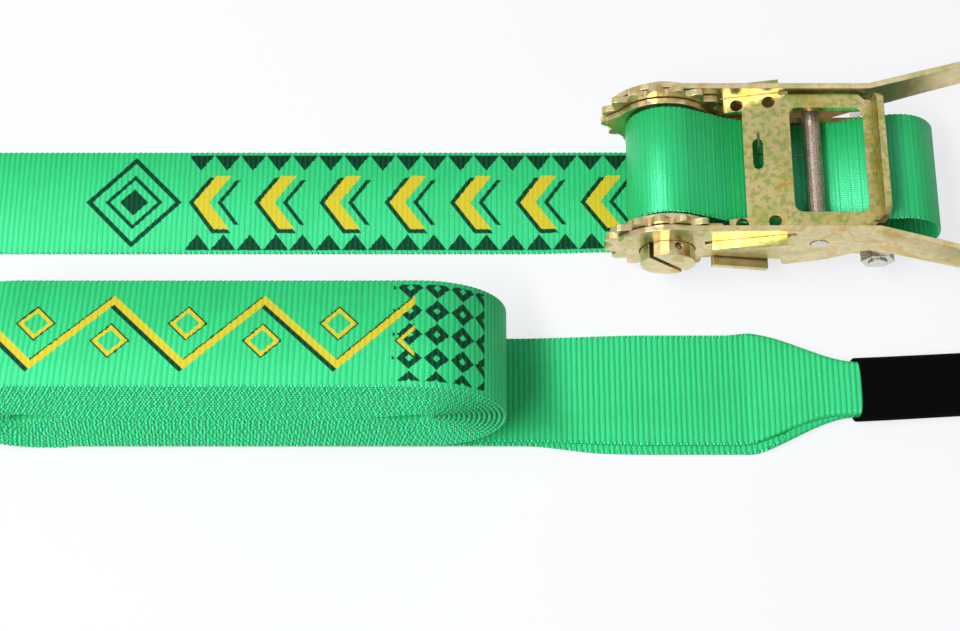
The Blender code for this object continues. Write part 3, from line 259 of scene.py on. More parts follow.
@dataclass(frozen=True)
class WovenPolyester:
    """Green polyester webbing, woven with heavy weft ribs across it: its colour is painted lighter
    along the ribs' crests and darker in the furrows, a painted highlight and painted shade, and it
    has the soft gloss of filament yarn. Where taut its colour is also painted a little darker, a
    painted shade.

    The rib spacing is the real 2.4 mm. The yarns, about 0.4 mm in the real one, are drawn at
    0.9 mm so that they show. Sizes are in millimetres. A mask is a limit and half the width of its
    soft edge. A noise is its stretch along and across, its scale, detail and roughness.
    """

    name: str
    artwork: Print = Print.NONE
    satin_before: float = -FAR_OFF
    fold_height: float = 0.0
    # crest is the ribs' painted highlight colour and furrow their painted shade colour; furrow also
    # tints the random fuzz.
    crest: str = "#1FCE7A"
    furrow: str = "#02801C"
    deep: str = "#049426"
    # painted glints of light on the fuzz
    glint: str = "#48EC96"
    # painted shade in the gaps between the selvedge threads and in the notches between ribs at the
    # edge
    shaded_thread_gap: str = "#034A1A"
    # painted highlight on the selvedge threads' crests
    lit_thread_crest: str = "#3DFFA6"
    dark_ink: str = "#061C10"
    yellow_ink: str = "#D6C22A"
    gloss_tint: str = "#80FFD4"
    sheen_tint: str = "#7CFFE0"
    rib: float = 2.4
    fine_rib: float = 1.6
    yarn: float = 0.9
    wander: float = 0.7
    satin_fade: float = 6.0
    selvedge_pitch: float = 1.45
    thread_lean: float = 0.47
    thread_jitter: float = 1.3
    jitter_scale: float = 420.0
    ragged_ink: float = 0.9
    printed_side: Pair = (-0.5, 0.1)
    rib_share: float = 0.72
    yarn_share: float = 0.28
    satin_loss: float = 0.5
    satin_base: float = 0.12
    fine_share: float = 0.2
    edge_mask: Pair = (24.25, 0.12)
    notch_place: Pair = (23.9, 0.3)
    notch_mask: Pair = (0.5, 0.2)
    cloud_mask: Pair = (0.45, 0.15)
    fuzz_mask: Pair = (0.44, 0.08)
    glint_mask: Pair = (0.55, 0.05)
    gap_mask: Pair = (0.5, 0.2)
    thread_mask: Pair = (0.55, 0.2)
    cloud_share: float = 0.22
    fuzz_share: float = 0.38
    gap_share: float = 0.85
    thread_share: float = 0.75
    notch_share: float = 0.7
    glint_base: float = 0.1
    glint_on_crest: float = 0.3
    glint_off_edge: float = 0.5
    ink_base: float = 0.86
    ink_on_crest: float = 0.14
    ink_dulling: float = 0.85
    wander_noise: Noise = (0.5, 0.06, 1.0, 2.0, 0.5)
    cloud_noise: Noise = (0.03, 0.05, 1.0, 3.0, 0.5)
    fuzz_noise: Noise = (1.0, 1.0, 2.4, 3.0, 0.7)
    ragged_noise: Noise = (1.0, 1.0, 0.9, 2.0, 0.5)
    relief: float = 0.35 * MM
    rib_relief: float = 0.9
    fuzz_relief: float = 0.25
    roughness: float = 0.6
    satin_gloss: float = 0.2

    def material(self) -> bpy.types.Material:
        """Builds the woven material from the piece's weave attribute."""
        made, tree, shader = new_material(self.name)
        f = Formula(tree)
        weave = add_node(tree, "ShaderNodeAttribute", {"attribute_name": "weave"})
        parts = add_node(tree, "ShaderNodeSeparateXYZ", inputs={0: weave.outputs["Vector"]})
        along, across = (f.mul(parts.outputs[axis], 1 / MM) for axis in "XY")
        wander, cloud, fuzz = (
            self._noise_on_weave(f, along, across, noise)
            for noise in (self.wander_noise, self.cloud_noise, self.fuzz_noise))
        shifted = f.add(along, f.mul(f.sub(wander, 0.5), self.wander))
        crest = f.ridges(shifted, self.rib)
        satin = f.below(along, self.satin_before, self.satin_fade)
        edge = f.above(f.size(across), *self.edge_mask)
        threads = self._edge_threads(f)
        ridge = f.add(
            f.mul(self._relief(f, along, across, shifted, crest, satin), f.sub(1.0, edge)),
            f.mul(threads, edge))
        # Painted highlight: glints on the fuzz, fewer at the edge.
        glint = f.mul(f.above(fuzz, *self.glint_mask),
                      f.sub(1.0, f.mul(edge, self.glint_off_edge)))
        # Painted shade in the gaps between the selvedge threads.
        gap = f.mul(f.below(threads, *self.gap_mask), edge)
        # Painted highlight on the selvedge threads' crests.
        lit = f.mul(f.above(threads, *self.thread_mask), edge)
        # Painted shade in the notches between the ribs at the selvedge.
        notch = f.mul(f.below(crest, *self.notch_mask), f.above(f.size(across), *self.notch_place))
        # The colour goes from furrow to crest with the weave's height: painted highlight on the
        # crests and painted shade in the furrows.
        colour = tinted(tree, mix_colour(tree, ridge, linear(self.furrow), linear(self.crest)), (
            (f.mul(f.below(cloud, *self.cloud_mask), self.cloud_share), self.deep),
            (f.mul(f.below(fuzz, *self.fuzz_mask), self.fuzz_share), self.furrow),
            (f.mul(gap, self.gap_share), self.shaded_thread_gap),
            (f.mul(glint, f.add(self.glint_base, f.mul(crest, self.glint_on_crest))), self.glint),
            (f.mul(lit, self.thread_share), self.lit_thread_crest),
            (f.mul(notch, self.notch_share), self.shaded_thread_gap),
        ))
        gloss: Any = 1.0
        if self.artwork is not Print.NONE:
            colour, ink = self._print(f, along, across, parts.outputs["Z"], crest, colour)
            gloss = f.sub(1.0, f.mul(ink, self.ink_dulling))
        height = f.add(f.mul(ridge, self.rib_relief), f.mul(fuzz, self.fuzz_relief))
        bump = add_node(tree, "ShaderNodeBump", inputs={
            "Strength": 0.75, "Distance": self.relief, "Height": height})
        feed(tree, shader, {
            "Base Color": colour, "Normal": bump.outputs[0],
            "Roughness": f.sub(self.roughness, f.mul(satin, self.satin_gloss)), "IOR": 1.85,
            "Specular IOR Level": gloss, "Specular Tint": linear(self.gloss_tint),
            "Sheen Weight": 0.03, "Sheen Roughness": 0.5, "Sheen Tint": linear(self.sheen_tint)})
        return made

    def _noise_on_weave(self, f: Formula, along: Any, across: Any,
                        noise: Noise) -> bpy.types.NodeSocket:
        """A noise that lies on the woven surface, stretched along and across it.

        Args:
            f: The arithmetic of the material.
            along: Millimetres along the webbing.
            across: Millimetres across it.
            noise: The noise's stretch along and across, scale, detail and roughness.

        Returns:
            The noise's value.
        """
        stretch_along, stretch_across, scale, detail, roughness = noise
        plane = add_node(f.tree, "ShaderNodeCombineXYZ", inputs={
            0: f.mul(along, stretch_along), 1: f.mul(across, stretch_across)})
        return add_node(f.tree, "ShaderNodeTexNoise", {"noise_dimensions": "2D"}, {
            "Vector": plane.outputs[0], "Scale": scale, "Detail": detail, "Roughness": roughness,
        }).outputs["Fac"]

    def _relief(self, f: Formula, along: Any, across: Any, shifted: Any, crest: Any,
                satin: Any) -> bpy.types.NodeSocket:
        """Ribs with warp yarns that dive under every other one, finer and lower where taut.

        Args:
            f: The arithmetic of the material.
            along: Millimetres along the webbing.
            across: Millimetres across it.
            shifted: Millimetres along, with the ribs' wander.
            crest: How high the ribs stand.
            satin: Where the weave is taut.

        Returns:
            How high the weave stands, from 0 to 1.
        """
        row = f.op("FLOOR", f.div(along, self.rib))
        stagger = f.mul(f.op("MODULO", f.size(row), 2.0), self.yarn / 2)
        yarn = f.ridges(f.add(across, stagger), self.yarn)
        fine = f.ridges(shifted, self.fine_rib)
        # Where taut the crests count for less and the colour sits nearer the furrow: flatter ribs,
        # and also a painted shade on the webbing round the spool and in the bight.
        crest_share = f.sub(self.rib_share, f.mul(satin, self.satin_loss))
        ridge = f.add(f.mul(crest, crest_share), f.mul(yarn, self.yarn_share))
        return f.add(ridge, f.mul(satin, f.add(self.satin_base, f.mul(fine, self.fine_share))))

    def _edge_threads(self, f: Formula) -> bpy.types.NodeSocket:
        """Slanted threads on the selvedge, which lean the other way in a roll's lower half.

        Args:
            f: The arithmetic of the material.

        Returns:
            How high the threads stand, from 0 to 1.
        """
        place = add_node(f.tree, "ShaderNodeTexCoord").outputs["Object"]
        parts = add_node(f.tree, "ShaderNodeSeparateXYZ", inputs={0: place})
        x, z = (f.mul(parts.outputs[axis], 1 / MM) for axis in "XZ")
        lean = f.size(f.sub(z, self.fold_height))
        jitter = add_node(f.tree, "ShaderNodeTexNoise", inputs={
            "Vector": place, "Scale": self.jitter_scale, "Detail": 2.0}).outputs["Fac"]
        phase = f.add(f.sub(x, f.mul(lean, self.thread_lean)),
                      f.mul(f.sub(jitter, 0.5), self.thread_jitter))
        return f.ridges(phase, self.selvedge_pitch)

    def _print(self, f: Formula, along: Any, across: Any, side: Any, crest: Any,
               colour: Any) -> tuple[bpy.types.NodeSocket, bpy.types.NodeSocket]:
        """Lays the printed bands over the weave, thinner in the furrows as ink is.

        Args:
            f: The arithmetic of the material.
            along: Millimetres along the webbing.
            across: Millimetres across it.
            side: Which face it is, from -1 to 1.
            crest: How high the ribs stand.
            colour: The bare weave's colour.

        Returns:
            The colour with its print, and where ink lies.
        """
        layout = ChevronBand() if self.artwork is Print.CHEVRONS else ZigzagBand()
        ragged = self._noise_on_weave(f, along, across, self.ragged_noise)
        nudge = f.mul(f.sub(ragged, 0.5), self.ragged_ink)
        s, v = f.add(along, nudge), f.add(across, nudge)
        face = f.mul(f.below(side, *self.printed_side), f.between(s, 0.0, layout.length))
        dark, bright = layout.masks(f, s, v)
        cover = f.add(self.ink_base, f.mul(crest, self.ink_on_crest))
        colour = tinted(f.tree, colour, (
            (f.mul(f.mul(dark, face), cover), self.dark_ink),
            (f.mul(f.mul(bright, face), cover), self.yellow_ink),
        ))
        return colour, f.mul(f.most(dark, bright), face)


@dataclass(frozen=True)
class ChevronBand:
    """The short strap's print: yellow arrows on dark shadows between rows of dark triangles, with
    a nested diamond at its outer end. Sizes in millimetres."""

    length: float = 257.0
    pitch: float = 30.0
    phase: float = 7.0
    slant: float = 0.75
    stroke: float = 7.0
    half_height: float = 13.0
    shadow_along: float = 1.6
    shadow_across: float = 1.4
    shadow_past: float = 0.6
    thin_phase: float = 5.4
    thin_from_middle: float = 3.0
    thin_half: float = 1.1
    thin_short: float = 2.0
    border: float = 15.5
    border_end: Pair = (23.2, 0.3)
    tooth: float = 12.0
    tooth_slope: float = 1.3
    emblem: float = 46.0
    emblem_gap: float = 2.0
    ring_inset: float = 2.5
    ring_half: float = 1.5
    inner_ring: float = 12.0
    inner_half: float = 1.2
    heart: float = 6.5

    def masks(self, f: Formula, s: Any, v: Any) -> tuple[Any, Any]:
        """The dark and the bright ink.

        Args:
            f: The arithmetic of the material.
            s: Millimetres along the band from its start.
            v: Millimetres across from the webbing's middle.

        Returns:
            The dark ink's and the bright ink's masks.
        """
        far = f.size(v)
        rest = f.below(s, self.length - self.emblem - self.emblem_gap, INK_EDGE)
        tilted = f.add(f.add(s, f.mul(far, self.slant)), self.phase)
        arrow = self._strokes(f, tilted, far, self.stroke, 0.0)
        shade = self._strokes(f, f.sub(tilted, self.shadow_along),
                              f.size(f.add(v, self.shadow_across)),
                              self.stroke + self.shadow_along, self.shadow_past)
        tooth = f.swing(s, self.tooth / 2)
        rows = f.below(f.sub(f.mul(tooth, self.tooth_slope), f.sub(far, self.border)), 0.0)
        rows = f.mul(rows, f.below(far, *self.border_end))
        thin = f.swing(f.add(tilted, self.thin_phase), self.pitch / 2)
        thin = f.mul(f.below(f.size(f.sub(thin, self.thin_from_middle)), self.thin_half),
                     f.below(far, self.half_height - self.thin_short))
        middle = f.add(f.size(f.sub(s, self.length - self.emblem / 2)), far)
        ring = f.below(f.size(f.sub(middle, self.emblem / 2 - self.ring_inset)), self.ring_half)
        inner = f.most(f.below(f.size(f.sub(middle, self.inner_ring)), self.inner_half),
                       f.below(middle, self.heart))
        emblem = f.mul(f.most(ring, inner), f.sub(1.0, rest))
        dark = f.most(f.mul(f.most(f.most(rows, shade), thin), rest), emblem)
        return dark, f.mul(arrow, rest)

    def _strokes(self, f: Formula, s: Any, far: Any, width: float, more: float) -> Any:
        """Slanted strokes that repeat along the band, within its middle."""
        wave = f.swing(s, self.pitch / 2)
        return f.mul(f.below(wave, width / 2), f.below(far, self.half_height + more))


@dataclass(frozen=True)
class ZigzagBand:
    """The long line's print: a yellow zigzag with a dark shadow and small diamonds in its bends,
    and a patch of dark lattice. Sizes in millimetres."""

    length: float = 260.0
    pitch: float = 62.0
    height: float = 30.0
    stroke: float = 2.1
    shadow_along: float = 1.4
    shadow_across: float = 0.9
    shadow_more: float = 0.4
    diamond_off: float = 4.0
    ring: Pair = (6.2, 1.1)
    ring_shadow: Pair = (6.9, 1.3)
    patch: float = 40.0
    overlap: float = 9.0
    lattice: float = 11.0
    lattice_phase: float = 100.0
    cell_share: float = 0.47
    hole_share: float = 0.14
    lattice_end: float = 22.5

    def masks(self, f: Formula, s: Any, v: Any) -> tuple[Any, Any]:
        """The dark and the bright ink, as on the other band.

        Args:
            f: The arithmetic of the material.
            s: Millimetres along the band from its start.
            v: Millimetres across from the webbing's middle.

        Returns:
            The dark ink's and the bright ink's masks.
        """
        lattice_here = f.below(s, self.patch, INK_EDGE)
        line_here = f.above(s, self.patch - self.overlap, INK_EDGE)
        bright = self._line(f, s, v, self.stroke)
        shadow = self._line(f, f.sub(s, self.shadow_along), f.add(v, self.shadow_across),
                            self.stroke + self.shadow_more)
        half = self.pitch / 2
        upper = f.add(f.swing(s, half), f.size(f.sub(v, self.diamond_off)))
        lower = f.add(f.swing(f.add(s, half), half), f.size(f.add(v, self.diamond_off)))
        small = f.least(upper, lower)
        rings, ring_shade = (f.below(f.size(f.sub(small, size)), width)
                             for size, width in (self.ring, self.ring_shadow))
        cells = f.add(f.swing(s, self.lattice / 2),
                      f.swing(f.add(v, self.lattice_phase), self.lattice / 2))
        lattice, holes = (f.below(cells, self.lattice * share)
                          for share in (self.cell_share, self.hole_share))
        lattice = f.mul(f.sub(lattice, holes), f.below(f.size(v), self.lattice_end))
        dark = f.most(f.mul(f.most(shadow, ring_shade), line_here), f.mul(lattice, lattice_here))
        return dark, f.mul(f.most(bright, rings), line_here)

    def _line(self, f: Formula, s: Any, v: Any, half: float) -> Any:
        """A zigzag line across the band."""
        wave = f.mul(f.swing(s, self.pitch / 2), 2 * self.height / self.pitch)
        return f.below(f.size(f.sub(v, f.sub(wave, self.height / 2))), half)


@dataclass(frozen=True)
class YellowZinc:
    """Stamped steel, zinc plated and yellow chromated: a pale straw metal whose thin film turns
    green, pink and orange in soft patches, with a fine grain from the plating bath.

    A cloud is the size of its patches, its detail and how far it is twisted."""

    name: str = "yellow_chromated_zinc_steel"
    straw: str = "#E2D2A4"
    green: str = "#AAB26C"
    rose: str = "#DDB394"
    amber: str = "#D09038"
    roughness: float = 0.31
    patches: float = 0.65
    speckle: float = 0.3
    edge: float = 0.4 * MM
    clouds: tuple[tuple[float, float, float], ...] = (
        (15 * MM, 4.0, 0.6), (11 * MM, 4.0, 1.0), (0.9 * MM, 2.0, 0.0), (2.6 * MM, 3.0, 0.0))
    green_mask: Pair = (0.56, 0.12)
    rose_mask: Pair = (0.42, 0.12)
    amber_mask: Pair = (0.6, 0.1)
    speck_mask: Pair = (0.46, 0.06)
    smoothest: float = -0.06
    grain_roughness: float = 0.16
    grain_relief: float = 0.06 * MM
    speck_relief: float = 0.8

    def material(self) -> bpy.types.Material:
        """Builds the plated metal on Object coordinates, its edges shaded as slightly round."""
        made, tree, shader = new_material(self.name)
        f = Formula(tree)
        place = add_node(tree, "ShaderNodeTexCoord").outputs["Object"]
        broad, second, grain, speck = (
            add_node(tree, "ShaderNodeTexNoise", inputs={
                "Vector": place, "Scale": 1 / size, "Detail": detail, "Distortion": twist,
            }).outputs["Fac"] for size, detail, twist in self.clouds)
        film = self.patches
        colour = tinted(tree, linear(self.straw), (
            (f.mul(f.above(broad, *self.green_mask), film), self.green),
            (f.mul(f.below(second, *self.rose_mask), film), self.rose),
            (f.mul(f.above(second, *self.amber_mask), film), self.amber),
            (f.mul(f.below(speck, *self.speck_mask), self.speckle), self.green),
        ))
        rounded = add_node(tree, "ShaderNodeBevel", {"samples": 4}, {"Radius": self.edge})
        bump = add_node(tree, "ShaderNodeBump", inputs={
            "Strength": 0.35, "Distance": self.grain_relief,
            "Height": f.add(grain, f.mul(speck, self.speck_relief)),
            "Normal": rounded.outputs[0],
        })
        feed(tree, shader, {
            "Base Color": colour, "Normal": bump.outputs[0], "Metallic": 1.0,
            "Roughness": f.add(self.roughness + self.smoothest,
                               f.mul(grain, self.grain_roughness))})
        return made


@dataclass(frozen=True)
class PlatedSteel:
    """Small steel parts: bright zinc on the nut and washers, drawn wire on the springs, and dull
    grey-brown tube on the rod's sleeve, each with its own grain in millimetres."""

    name: str
    light: str
    dark: str
    roughness: float
    grain: float = 1.2
    mottle: float = 0.4
    patch: float = 8.0
    grain_share: float = 0.7
    mottle_mask: Pair = (0.5, 0.12)
    smoothest: float = -0.08
    grain_roughness: float = 0.18
    relief: float = 0.05 * MM

    def material(self) -> bpy.types.Material:
        """Builds the steel on Object coordinates."""
        made, tree, shader = new_material(self.name)
        f = Formula(tree)
        place = add_node(tree, "ShaderNodeTexCoord").outputs["Object"]
        grain, broad = (
            add_node(tree, "ShaderNodeTexNoise", inputs={
                "Vector": place, "Scale": 1 / (size * MM), "Detail": detail, "Roughness": rough,
            }).outputs["Fac"] for size, detail, rough in (
                (self.grain, 4.0, 0.65), (self.patch, 3.0, 0.5)))
        spots = f.add(f.mul(grain, self.grain_share), f.mul(broad, 1 - self.grain_share))
        share = f.mul(f.below(spots, *self.mottle_mask), self.mottle)
        bump = add_node(tree, "ShaderNodeBump", inputs={
            "Strength": 0.3, "Distance": self.relief, "Height": grain})
        feed(tree, shader, {
            "Base Color": tinted(tree, linear(self.light), ((share, self.dark),)),
            "Normal": bump.outputs[0], "Metallic": 1.0,
            "Roughness": f.add(self.roughness + self.smoothest,
                               f.mul(grain, self.grain_roughness))})
        return made


@dataclass(frozen=True)
class BlackSleeving:
    """Tightly woven black polyester tube: almost no shine, faint creases across it. Sizes in
    millimetres."""

    name: str = "woven_black_polyester_sleeving"
    light: str = "#060606"
    dark: str = "#010101"
    weft: float = 0.9
    warp: float = 0.8
    warp_wave: float = 0.3
    fuzz_scale: float = 900.0
    weave_relief: float = 0.8
    fuzz_relief: float = 0.3
    # how far the raised yarns are painted lighter, a painted highlight
    shade: float = 0.75
    relief: float = 0.2 * MM

    def material(self) -> bpy.types.Material:
        """Builds the sleeving on Object coordinates."""
        made, tree, shader = new_material(self.name)
        f = Formula(tree)
        place = add_node(tree, "ShaderNodeTexCoord").outputs["Object"]
        parts = add_node(tree, "ShaderNodeSeparateXYZ", inputs={0: place})
        x, y = (f.mul(parts.outputs[axis], 1 / MM) for axis in "XY")
        wave = f.sine(f.mul(x, math.pi / self.weft))
        warp = f.ridges(f.add(y, f.mul(wave, self.warp_wave)), self.warp)
        fuzz = add_node(tree, "ShaderNodeTexNoise", inputs={
            "Vector": place, "Scale": self.fuzz_scale, "Detail": 3.0}).outputs["Fac"]
        # The colour is lighter where the weave stands high: a painted highlight on the raised
        # yarns, with tone that differs at random from the fuzz.
        height = f.add(f.mul(f.mul(f.size(wave), warp), self.weave_relief),
                       f.mul(fuzz, self.fuzz_relief))
        bump = add_node(tree, "ShaderNodeBump", inputs={
            "Strength": 0.7, "Distance": self.relief, "Height": height})
        feed(tree, shader, {
            "Base Color": tinted(tree, linear(self.dark),
                                 ((f.mul(height, self.shade), self.light),)),
            "Normal": bump.outputs[0], "Roughness": 0.82, "Specular IOR Level": 0.05, "IOR": 1.5})
        return made


@dataclass(frozen=True)
class SewingThread:
    """Bonded polyester thread, twisted, with a slight gloss."""

    name: str = "bonded_polyester_thread"
    light: str = "#3CD88C"
    dark: str = "#158A48"
    twist_scale: float = 1400.0

    def material(self) -> bpy.types.Material:
        """Builds the thread on Object coordinates."""
        made, tree, shader = new_material(self.name)
        place = add_node(tree, "ShaderNodeTexCoord").outputs["Object"]
        twist = add_node(tree, "ShaderNodeTexNoise", inputs={
            "Vector": place, "Scale": self.twist_scale, "Detail": 2.0}).outputs["Fac"]
        feed(tree, shader, {
            "Base Color": tinted(tree, linear(self.dark), ((twist, self.light),)),
            "Roughness": 0.45, "IOR": 1.57})
        return made


# Meshes


def arc(radius: float, start: float, end: float, steps: int, centre: Point = (0, 0)) -> list[Point]:
    """Points along an arc, both ends included.

    Args:
        radius: The arc's radius.
        start: Its first angle in radians.
        end: Its last angle in radians.
        steps: How many stretches it has.
        centre: Its centre.

    Returns:
        The points.
    """
    angles = [start + (end - start) * i / steps for i in range(steps + 1)]
    return [(centre[0] + radius * math.cos(a), centre[1] + radius * math.sin(a)) for a in angles]


def ease(share: Any) -> Any:
    """Turns a share into one that starts and ends softly, held between 0 and 1.

    Args:
        share: A number or an array of numbers.

    Returns:
        The eased share.
    """
    held = np.clip(share, 0, 1)
    return held * held * (3 - 2 * held)


def path_lengths(path: np.ndarray) -> np.ndarray:
    """How far along a path each of its points lies.

    Args:
        path: Rows of (x, z).

    Returns:
        One length for each row.
    """
    return np.concatenate([[0.0], np.cumsum(np.linalg.norm(np.diff(path, axis=0), axis=1))])


def smooth_path(points: Sequence[Point], step: float) -> list[Point]:
    """Points read from a smooth curve through a route's own points.

    Args:
        points: The route's points.
        step: About how far apart the new points lie.

    Returns:
        The new points.
    """
    knots = [Vector(p) for p in points]
    made: list[Point] = []
    for i in range(len(knots) - 1):
        before, a, b = knots[max(i - 1, 0)], knots[i], knots[i + 1]
        after = knots[min(i + 2, len(knots) - 1)]
        steps = max(1, round((b - a).length / step))
        for k in range(steps):
            t = k / steps
            spot = (a * 2 + (b - before) * t + (before * 2 - a * 5 + b * 4 - after) * t**2
                    + (a * 3 - before - b * 3 + after) * t**3) / 2
            made.append((spot.x, spot.y))
    made.append(tuple(knots[-1]))
    return made


def add_piece(name: str, mesh: bpy.types.Mesh, material: Optional[bpy.types.Material],
              body: Body) -> bpy.types.Object:
    """Puts a finished mesh in the scene as a piece that rides on a body.

    Args:
        name: The piece's name.
        mesh: Its mesh, already in place.
        material: Its material, or None where the mesh has its own.
        body: The body that it rides on.

    Returns:
        The piece.
    """
    mesh.name = name
    made = bpy.data.objects.new(name, mesh)
    bpy.context.scene.collection.objects.link(made)
    if material:
        mesh.materials.clear()
        mesh.materials.append(material)
    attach(made, body.value)
    LOG.info("%s rides on %s with %d faces", name, body.value, len(mesh.polygons))
    return made


def bmesh_to_mesh(bm: bmesh.types.BMesh, name: str, smooth: float = 35) -> bpy.types.Mesh:
    """Ends a bmesh as a mesh, its faces outwards, round faces smooth and corners sharp.

    Args:
        bm: The bmesh, which is freed.
        name: The mesh's name.
        smooth: The angle in degrees up to which neighbours are shaded as one.

    Returns:
        The mesh.
    """
    bmesh.ops.recalc_face_normals(bm, faces=bm.faces)
    mesh = bpy.data.meshes.new(name)
    bm.to_mesh(mesh)
    bm.free()
    mesh.shade_smooth()
    mesh.set_sharp_from_angle(angle=math.radians(smooth))
    return mesh


def bridge_rings(bm: bmesh.types.BMesh, rings: Sequence[list[bmesh.types.BMVert]]) -> None:
    """Closes rings of as many points with faces, each one to the next.

    Args:
        bm: The bmesh that the rings are in.
        rings: The rings in order.
    """
    for first, second in zip(rings, rings[1:]):
        for k in range(len(first)):
            n = (k + 1) % len(first)
            bm.faces.new((first[k], second[k], second[n], first[n]))


@dataclass
class NodeShape:
    """A Geometry Nodes tree with named inputs, run once on a source mesh and made plain."""

    name: str
    inputs: dict[str, tuple[str, Any]]
    grow: Callable[[bpy.types.NodeTree, bpy.types.Node], bpy.types.NodeSocket]

    def mesh(self, source: bpy.types.Mesh) -> bpy.types.Mesh:
        """Runs the tree.

        Args:
            source: The mesh that the tree starts from.

        Returns:
            The plain result.
        """
        tree = bpy.data.node_groups.new(self.name, "GeometryNodeTree")
        tree.interface.new_socket("Geometry", in_out="INPUT", socket_type="NodeSocketGeometry")
        tree.interface.new_socket("Geometry", in_out="OUTPUT", socket_type="NodeSocketGeometry")
        sockets = {
            label: tree.interface.new_socket(label, in_out="INPUT", socket_type=kind)
            for label, (kind, _) in self.inputs.items()
        }
        start = add_node(tree, "NodeGroupInput")
        end = add_node(tree, "NodeGroupOutput")
        tree.links.new(self.grow(tree, start), end.inputs["Geometry"])
        holder = bpy.data.objects.new(self.name, source)
        bpy.context.scene.collection.objects.link(holder)
        step = holder.modifiers.new(self.name, "NODES")
        step.node_group = tree
        for label, (_, value) in self.inputs.items():
            step[sockets[label].identifier] = value
        evaluated = holder.evaluated_get(bpy.context.evaluated_depsgraph_get())
        made = bpy.data.meshes.new_from_object(evaluated)
        holder.modifiers.clear()
        bpy.data.objects.remove(holder)
        return made


def move_points(mesh: bpy.types.Mesh, change: Callable[[np.ndarray], None]) -> bpy.types.Mesh:
    """Moves a mesh's points by a rule.

    Args:
        mesh: The mesh.
        change: Changes the rows of (x, y, z) that it is given.

    Returns:
        The same mesh.
    """
    spots = np.empty(len(mesh.vertices) * 3)
    mesh.vertices.foreach_get("co", spots)
    spots = spots.reshape(-1, 3)
    change(spots)
    mesh.vertices.foreach_set("co", spots.ravel())
    mesh.update()
    return mesh


def polyline(name: str, path: Sequence[Point]) -> bpy.types.Mesh:
    """A chain of edges in the XZ plane.

    Args:
        name: The mesh's name.
        path: Its points as (x, z).

    Returns:
        The mesh.
    """
    mesh = bpy.data.meshes.new(name)
    mesh.from_pydata([(x, 0, z) for x, z in path], [(i, i + 1) for i in range(len(path) - 1)], [])
    return mesh


